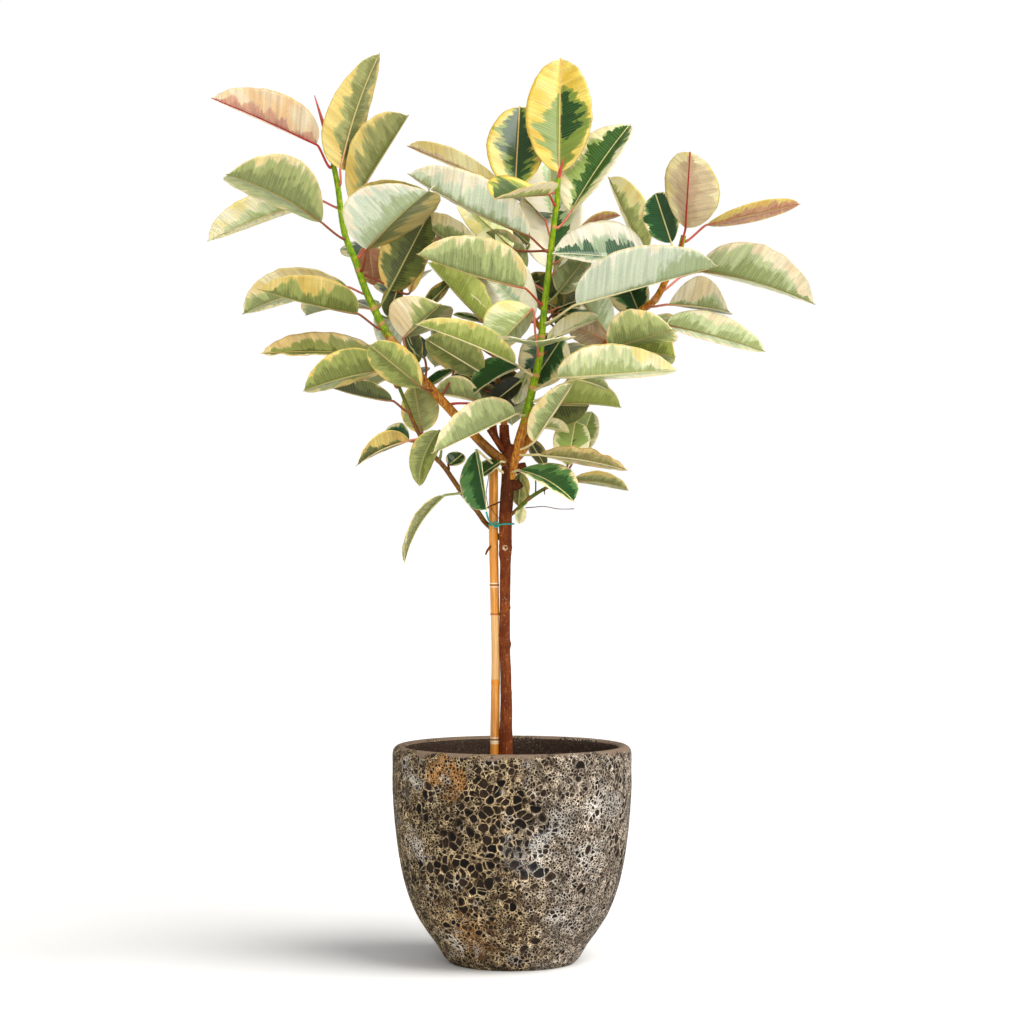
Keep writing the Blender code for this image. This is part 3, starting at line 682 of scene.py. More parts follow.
def shoot_piece(name, route, green_from, rings, slot):
    """A shoot with its ring swellings and its marks: greenness, nearness of a ring, and age."""
    form = bmesh.new()
    layer = form.verts.layers.float_vector.new("shoot_marks")
    rows = smooth_route(route, 2.2)
    marks, radii = [], []
    for _, up, _, radius in rows:
        ring = max(math.exp(-((up - r) / 2.0) ** 2) for r in rings)
        age = TWIG_AGE if "twig" in name else 0.0
        if name == "left_branch":
            age = FORK_AGE * min(1.0, max(0.0, (OLD_BELOW - up) / 24))
        marks.append(Vector((0.5 + (up - green_from) / 100, min(1.0, ring * 1.3), age)))
        radii.append(radius * MM * (1 + 0.13 * ring))
    roll_tube(form, [place(*r[:3]) for r in rows], radii, 20, 0, layer, marks,
              lambda point: noise.noise(point * 300) * 0.25 * MM)
    finish_piece(name + "_wood", form, [shoot_skin], [name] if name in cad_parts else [])


for name, row in SHOOTS.items():
    shoot_piece(name, *row)
print("shoots:", ", ".join(SHOOTS))

# %% [markdown]
# ## Buds, tie and small twigs
# The tips carry furled red sheaths, and an old branch has healed to a disc of pale callus round a dark heart. The
# tie is a wire once round trunk and cane, twisted to a small loop in front. Dry hair roots and thin twigs are the
# details that make the fork look grown.

# %% Buds
buds = {
    "left_bud": [(-276, 1230, -14, 3.6), (-283, 1262, -9, 3.8), (-293, 1298, -3, 2.8), (-306, 1341, 3, 0.7)],
    "top_bud": [(72, 1211, 0, 3.0), (75, 1225, -1, 2.4), (78, 1236, -2, 1.5), (81, 1246, -2, 0.5)],
}
for name, route in buds.items():
    tube_piece(name + "_sheath", [route], 14, 3, bud_sheath, [name])
print("buds:", ", ".join(buds))

# %% A healed branch scar on the trunk
CALLUS = [(-10.5, 640, -6, 4.6), (-10.5, 640, -11.4, 4.4), (-10.5, 640, -12.2, 3.2)]
HEART = [(-9.8, 640.8, -8, 2.2), (-9.8, 640.8, -12.7, 1.8)]
tube_piece("branch_scar_callus", [CALLUS], 16, 1.5, knot_wood, ["trunk"])
tube_piece("branch_scar_heart", [HEART], 12, 1.5, bark, ["trunk"])
print("branch scar at a height of", CALLUS[0][1], "mm")

# %% Tie
TIE = [
    (-40, 696, -9), (-36, 683, -8.5), (-28, 675, -8), (-19, 676, -10.5), (-10, 677, -10.9), (-1, 677, -8.2),
    (2.6, 677, 0), (-1, 677, 8.8), (-10, 677, 12), (-20, 677, 13), (-30, 676, 13), (-36, 676, 6), (-34.5, 675.5, -3),
    (-29, 676, -7.5),
]
KNOT = [(-31, 678, -9), (-27, 673, -10.5), (-22, 672.5, -10), (-21, 677, -10.5), (-25, 680, -10.5), (-30, 677, -9),
        (-34, 680, -8.5)]
tube_piece("twisted_wire_tie", [[(*p, 1.4) for p in TIE], [(*p, 1.3) for p in KNOT]], 10, 1.5, plastic_tie,
           ["tie"])
print("tie: a turn of", len(TIE), "places and a knot of", len(KNOT))

# %% Twigs, hair roots and stubs
TWIGS = [
    [(-41, 701, -10, 0.9), (-30, 706, -12, 1.1), (-17, 712, -11, 1.2)],
    [(-33, 702, -5, 0.5), (-25, 691, -9, 0.5), (-14, 678, -12, 0.5)],
    [(-34, 768, -6, 0.6), (-37, 745, -9, 0.6), (-40, 722, -8, 0.6), (-36, 700, -6, 0.5)],
    [(-33, 643, -3, 1.6), (-38, 636, -5, 1.9), (-41, 629, -6, 1.2)],
    [(21, 702, -12, 0.8), (34, 703, -14, 0.7), (50, 704, -16, 0.6), (70, 700.5, -18, 0.6), (83, 700, -18, 0.5),
     (96, 700.5, -18, 0.7)],
    [(36.5, 722, -17, 1.1), (36.8, 742, -18, 1.0), (36, 764, -18, 0.8)],
    [(52, 733, -22, 1.0), (50, 727, -24, 0.9), (51, 722, -24, 0.5)],
    [(-98, 757, -30, 1.2), (-97, 764, -30, 1.1), (-100, 770, -30, 1.0)],
    [(-36, 824, -12, 4.2), (-24, 806, -12, 4.6), (-14, 790, -8, 4.4)],
    [(-38, 838, -6, 2.6), (-30, 822, -8, 3.2), (-22, 806, -8, 3)],
    [(-28, 838, 2, 3.4), (-26, 818, 2, 3.8), (-20, 800, 0, 3.6)],
    [(-30, 985, 18, 1.6), (-26, 998, 14, 1.3), (-24, 1003, 14, 0.4)],
    [(-34, 985, 18, 1.6), (-40, 996, 14, 1.3), (-44, 1000, 14, 0.4)],
    [(-34, 980, 18, 1.6), (-43, 982, 12, 1.2), (-48, 980, 10, 0.4)],
    [(-30, 978, 18, 1.6), (-22, 982, 12, 1.2), (-18, 986, 10, 0.4)],
]
tube_piece("dry_twigs_and_roots", TWIGS, 8, 3, bark, [])
print("twigs:", len(TWIGS))

# %% [markdown]
# ## Leaf skins
# A variegated ficus leaf is green only where its inner cells are: the green runs out from the midrib along the
# side veins in ragged fingers and stops short of the cream margin. The pattern is therefore drawn in vein
# coordinates that each leaf carries: how far along, how far out, and how much green is left there. The upper
# side is waxed and glossy, the underside matt and paler.

# %% Leaf skin recipe
SIDE_VEIN_SPACING = 4.4


def leaf_skin(name, centre, deep, margin, warm, rim, rib, roughness, rib_width, soft, lines, line_colour, coat=0.0):
    """A leaf side: green centre with deeper streaks, a margin that warms in places, a rim line, a midrib, and painted
    light and shade.
    """
    material = start_material(name, roughness, ior=1.42)
    vein, out, share = node(SPLIT, node(STORED, attribute_name="vein_place"), out=ALL)
    green_left, deep_left, shade = node(SPLIT, node(STORED, attribute_name="vein_paint"), out=ALL)

    def streaks(across_veins, along_veins, shift, detail):
        """Noise that runs out from the midrib along the side veins, its lengths in millimetres."""
        here = node(V_TIMES, node(JOIN, vein, out), (1 / across_veins, 1 / along_veins, 0.0))
        here = node(V_PLUS, here, (0.0, 0.0, shift))
        return node(NOISE, here, 1.0, detail, 0.62)

    patches, teeth = streaks(17.0, 60.0, 1.3, 1.0), streaks(3.8, 45.0, 2.9, 2.0)
    tufts, pleat_relief_and_painted_shade = streaks(11.0, 34.0, 4.7, 3.0), streaks(5.5, 110.0, 7.1, 2.0)
    broad = streaks(34.0, 60.0, 9.9, 1.0)
    reach = node(TIMES_PLUS, teeth, 0.5, node(TIMES_PLUS, patches, 1.15, -0.575))
    reach = node(PLUS, reach, green_left)
    green = node(SOFT_RANGE, reach, 0.23, 0.28)
    fading = node(SOFT_RANGE, reach, 0.27, 0.40, 0.38, 0.0)
    depth = node(PLUS, node(TIMES_PLUS, tufts, 1.7, -0.85), deep_left)
    depth = node(SOFT_RANGE, depth, -0.03 - soft, 0.05 + soft)
    middle = node(BLEND, depth, node(BLEND, fading, centre, margin), deep)
    edge = node(BLEND, node(RANGE, broad, 0.36, 0.64), margin, warm)
    colour = node(BLEND, green, edge, middle)
    colour = node(BLEND, node(SOFT_RANGE, node(UNSIGNED, share), 0.94, 0.985), colour, rim)
    row = node(TIMES_PLUS, broad, 2.5, node(TIMES, vein, 1 / SIDE_VEIN_SPACING))
    row = node(UNSIGNED, node(PLUS, node(FRACTION, row), -0.5))
    side_vein = node(TIMES, node(SOFT_RANGE, row, 0.04, 0.22, 1.0, 0.0), node(RANGE, tufts, 0.3, 0.7, 0.3, 1.0))
    shown = node(TIMES, side_vein, node(RANGE, green, {3: lines * 0.35, 4: lines}))
    colour = node(BLEND, shown, colour, line_colour)
    colour = node(BLEND, node(SOFT_RANGE, node(UNSIGNED, out), rib_width, rib_width * 0.45), colour, rib)
    grain = node(NOISE, node(PLACE), 520.0, 2.0)
    # painted light and shade: the colour is painted lighter and darker with the pleat noise, as light would fall
    # across the pleat folds; a little grain mottles it, and each leaf's own shade value scales it
    level = node(TIMES, node(RANGE, pleat_relief_and_painted_shade, 0.3, 0.7, 0.82, 1.14), node(RANGE, grain, 0.25, 0.75, 0.9, 1.1))
    level = node(TIMES, level, shade)
    colour = node(BLEND, 1.0, colour, node(GREY, level, level, level), blend_type="MULTIPLY")
    surface(colour, (pleat_relief_and_painted_shade, 0.6, 0.0007), (side_vein, 0.35, 0.0004))
    for socket, value in (("Coat Weight", coat), ("Coat Roughness", 0.14), ("Subsurface Weight", 0.3),
                          ("Subsurface Radius", (1.0, 1.0, 0.35)), ("Subsurface Scale", 0.0006)):
        shader.inputs[socket].default_value = value
    return material


UNDERSIDES = {
    "pale": ("#c0c996", "#95a165", "#f1e4c4", "#ead3a4", "#dfc99a", "#8f7a44"),
    "peach": ("#dda88c", "#cc8f7c", "#fae6c6", "#f4cc98", "#ecc488", "#b3242c"),
    "tan": ("#d8c29a", "#c6a684", "#efe3b4", "#e6cf86", "#e2cd62", "#b83a30"),
    "rust": ("#cc9670", "#b87a5a", "#e8cf70", "#deb45c", "#dcbc48", "#c0744c"),
    "olive": ("#92945a", "#73783e", "#d8c47a", "#cdb05c", "#d0b452", "#b39c62"),
    "sage": ("#a8b06e", "#808a50", "#ebdeb2", "#e0c884", "#dcc886", "#96844c"),
    "mint": ("#d3dcc2", "#a9b78a", "#f5eedc", "#f0e4c4", "#e6d8aa", "#b5a87a"),
    "slate": ("#acb678", "#87925a", "#ecdfb8", "#e2cc8c", "#dcc886", "#98814e"),
    "lime": ("#b4bc66", "#919c46", "#ecde90", "#e2cc6c", "#deca5c", "#d2cb92"),
    "moss": ("#969e52", "#6f7836", "#e0ca7c", "#d4b65a", "#d2b048", "#ac9a60"),
    "butter": ("#c9d09c", "#a0ac6c", "#f5edcc", "#ecdc90", "#e4cb62", "#ddd29a"),
    "blush": ("#acb060", "#8f9b58", "#f0e0bc", "#e8d0a0", "#e0c684", "#b08a5a"),
    "dusk": ("#5f6930", "#40491e", "#d2b96a", "#bf9c50", "#cdb04c", "#8f7a40"),
    "dry": ("#9a8f50", "#77703a", "#cdb878", "#b07a3c", "#7c3c18", "#b8905a"),
}
UPPERSIDES = {
    "glossy": ("#4e7a40", "#1c4620", "#ece0b6", "#e2cf8c", "#e4d6a0", "#cfc884"),
    "mixed": ("#94a85c", "#2b5418", "#eee6c8", "#e6dba4", "#e8dba8", "#e0d698"),
    "sunny": ("#7e9238", "#184414", "#dab640", "#e9d26a", "#d8b448", "#e0b468"),
    "silver": ("#a9bd94", "#2b5c30", "#efe8d2", "#e8dfc0", "#e6dbb6", "#e2dcb0"),
    "aged": ("#8c914e", "#5a6230", "#e4d09a", "#d8b878", "#d2ae5c", "#c0aa68"),
}
under_skins = {n: leaf_skin("leaf_underside_" + n, *c, 0.5, 1.6, 0.12, 0.15, c[2]) for n, c in UNDERSIDES.items()}
upper_skins = {n: leaf_skin("leaf_upper_side_" + n, *c, 0.3, 1.5, 0.01, 0.3, c[0], 0.3)
               for n, c in UPPERSIDES.items()}
print("leaf skins:", len(under_skins), "undersides,", len(upper_skins), "upper sides")

# %% [markdown]
# ## Stalks
# The stalk is round and firm, red on young leaves and brown or cream on old ones, and it runs on beneath the
# blade as a raised midrib that thins and pales towards the tip. One material blends the two colours along it.

# %% Stalk materials


def stalk_skin(name, near_shoot, near_tip):
    """A stalk and midrib that blend from one colour to another on their way out."""
    material = start_material(name, 0.45)
    gone = node(SPLIT, node(STORED, attribute_name="vein_place"), out=2)
    cloud = node(NOISE, node(PLACE), 120.0, 2.0)
    share = node(PLUS, node(TIMES_PLUS, cloud, 0.5, -0.25), gone)
    surface(node(BLEND, node(RANGE, share, -0.1, 0.4), near_shoot, near_tip))
    return material


STALKS = {
    "moss": ("#7a8040", "#8c9050"), "red": ("#b8402c", "#b8a468"), "pink": ("#cf745a", "#c4b478"),
    "brown": ("#8c4628", "#a49c5e"), "cream": ("#dccb94", "#e0d6a2"), "red_to_tip": ("#c23a2c", "#a8202a"),
    "olive": ("#969a50", "#bcb574"),
}
stalk_skins = {n: stalk_skin("leaf_stalk_" + n, *c) for n, c in STALKS.items()}
print("stalk skins:", len(stalk_skins))

# %% [markdown]
# ## How a leaf is shaped
# A blade is a broad oval that folds up along its midrib, arches a little, waves at its margin and ends in a
# short drip tip. It starts as a flat grid: its rows run along the blade and its columns across it. Every point
# is moved by the same rule, the sheet is given a leaf's thickness, and the stalk is rolled on beneath it.

# %% Leaf shape
ROWS, COLUMNS = 44, 16
STALK_RINGS, RIB_RINGS = 13, 25
LEAF_SHEET = 0.7 * MM
STALK_RADIUS, RIB_RADIUS, VEIN_SLANT = 2.8, 1.8, 0.35
TIP_FROM, TIP_TO, TIP_SHARE, END_SHARE = 0.955, 0.985, 0.03, 0.012


def outline(u, belly):
    """Share of the half width at u along the blade: a broad oval with a short drip tip.
    A belly below 1 moves the widest place towards the stalk."""
    if u >= 1.0:
        return END_SHARE
    oval = math.sin(math.pi * max(u, 0.0004) ** belly) ** 0.56
    if u > 0.9:
        oval *= 1 - 0.45 * (u - 0.9) / 0.1
    if TIP_FROM < u < TIP_TO:
        oval = max(TIP_SHARE, oval * (1 - (u - TIP_FROM) / 0.03) + TIP_SHARE)
    elif u >= TIP_TO:
        oval = TIP_SHARE * (1 - (u - TIP_TO) / 0.025)
    return max(oval, END_SHARE)


def blade_frame(base, tip, face):
    """Unit vectors along the blade, out of its upper side, and across it, and its lift direction."""
    along = (tip - base).normalized()
    if isinstance(face, tuple):
        upper = Vector(face)
        upper = (upper - along * upper.dot(along)).normalized()
        lift = upper
    else:
        front = camera.location - (base + tip) / 2
        front = (front - along * front.dot(along)).normalized()
        lift = along.cross(front)
        if lift.z < 0 or (abs(lift.z) < 0.05 and lift.x > 0):
            lift = -lift
        turn = math.radians(face)
        upper = front * math.cos(turn) + lift * math.sin(turn)
    return along, upper, along.cross(upper).normalized(), lift


def at_share(levels, u):
    """A level along the blade, from one number or from several evenly spaced ones."""
    if isinstance(levels, (int, float)):
        return levels
    x = u * (len(levels) - 1)
    i = min(int(x), len(levels) - 2)
    return levels[i] + (levels[i + 1] - levels[i]) * (x - i)


def flutter(vein, v, seed, spacing, branch):
    """Noise along the veins of one leaf, another one on each half of its blade."""
    return noise.noise(Vector((vein / spacing, math.copysign(branch, v), seed)))


def grow_leaf(form, layers, number, foot, outward, base, tip, half, face, fold, arch, over, below, more):
    """Adds one leaf: its blade, whose upper side has material 0 and underside 1, and its stalk, material 2.
    more holds shade, the leaf's painted light and shade, and may hold belly, ruffle, dim_below (the
    painted shade of the lower half against the upper one), deep_over and deep_below."""
    place_layer, paint_layer = layers
    along, upper, side, lift = blade_frame(base, tip, face)
    length = (tip - base).length
    upright = isinstance(face, tuple)
    over_sign = 1.0 if upright or side.dot(lift) >= 0 else -1.0
    lean, belly = math.radians(fold), more.get("belly", 0.92)
    seen_top = upright or abs(face) < 75
    edge_on = not upright and 100 < face < 130
    deep = [more.get(k, [x - 0.16 if seen_top else 0.45 * x for x in (v if isinstance(v, tuple) else (v, v))])
            for k, v in (("deep_over", over), ("deep_below", below))]

    def rib(u):
        """The place of the midrib at u along the blade."""
        return base + along * length * u + lift * arch * 4 * u * (1 - u) * MM

    made = bmesh.ops.create_grid(form, x_segments=ROWS, y_segments=COLUMNS, size=1)["verts"]
    seed = number * 37.7
    for row in range(ROWS + 1):
        u = 0.5 - 0.5 * math.cos(math.pi * (row / ROWS) ** 0.96) if row < ROWS else 1.0
        width = half * MM * outline(u, belly)
        for column in range(COLUMNS + 1):
            v = column / COLUMNS * 2 - 1
            out = abs(v) * width
            vein = (length * u - VEIN_SLANT * out) / MM
            bulge = 0.25 * width * math.sin(lean) * abs(v) * (1 - abs(v))
            calm = 0.35 if edge_on and v * over_sign < 0 else 1.0
            wave = flutter(vein, v, seed, 16, 3) * 1.6 * abs(v) ** 1.4
            wave += flutter(vein, v, seed, 6.5, 7) * 0.8 * math.sin(math.pi * abs(v)) ** 0.7
            fade = min(1.0, width / (14 * MM)) * more.get("ruffle", 1.0) * calm
            edge = 1 + 0.03 * calm * flutter(vein, v, seed, 12, 11) * abs(v)
            vert = made[column * (ROWS + 1) + row]
            vert.co = (rib(u) + side * math.copysign(out * math.cos(lean) * edge, v)
                       + upper * (out * math.sin(lean) + bulge + wave * fade * MM))
            above = v * over_sign > 0
            level = at_share(over if above else below, u)
            depth = at_share(deep[0] if above else deep[1], u)
            if abs(v) < 1e-6:
                level = (at_share(over, u) + at_share(below, u)) / 2
                depth = (at_share(deep[0], u) + at_share(deep[1], u)) / 2
            vert[place_layer] = Vector((vein + number * 400, math.copysign(out / MM, v), v))
            # painted light and shade: the leaf's shade scales its colour, and its lower half is painted darker where
            # asked
            painted_light_and_shade = more["shade"] * (1.0 if above else more.get("dim_below", 1.0))
            vert[paint_layer] = Vector((level - abs(v), depth - abs(v), painted_light_and_shade))
    blade = list({f for v in made for f in v.link_faces})
    form.normal_update()
    if sum(f.normal.dot(upper) for f in blade) < 0:
        bmesh.ops.reverse_faces(form, faces=blade)
    for part in bmesh.ops.solidify(form, geom=blade, thickness=LEAF_SHEET)["geom"]:
        if isinstance(part, bmesh.types.BMFace):
            part.material_index = 1
    # the stalk, then the midrib under the blade
    pull = (base - foot).length * 0.55
    start = (rib(0.04) - base).normalized()
    centres, radii, marks = [], [], []
    for ring in range(STALK_RINGS):
        t = ring / STALK_RINGS
        h0, h1 = 2 * t**3 - 3 * t**2 + 1, t**3 - 2 * t**2 + t
        h2, h3 = -2 * t**3 + 3 * t**2, t**3 - t**2
        centres.append(foot * h0 + outward * pull * h1 + base * h2 + start * pull * h3)
        radii.append((STALK_RADIUS - 0.9 * min(1, t * 4)) * MM)
        marks.append(Vector((0, 0, -0.3 + 0.3 * t)))
    for ring in range(RIB_RINGS):
        u = ring / RIB_RINGS * 0.97
        radius = (RIB_RADIUS - 1.5 * u ** 0.7) * MM
        centres.append(rib(u) - upper * (LEAF_SHEET + radius * 0.2) * min(1, 0.3 + ring / 3))
        radii.append(radius)
        marks.append(Vector((0, 0, u)))
    roll_tube(form, centres, radii, 8, 2, place_layer, marks)


print("leaf grid:", ROWS, "by", COLUMNS)

# %% [markdown]
# ## The leaves
# One row describes one leaf: the shoot it grows on and at what height, where its blade starts and ends, its
# half width, how it faces the front, its fold and arch; then its paint, underside, upper side and stalk, and how
# far the green reaches on the half above and the half below the midrib, as a share of the half width, all along
# or at several places. `face` is 0 with the upper side to the front, 90 with it to the sky, and 180 with the
# underside seen, or it is the direction that the upper side looks in.

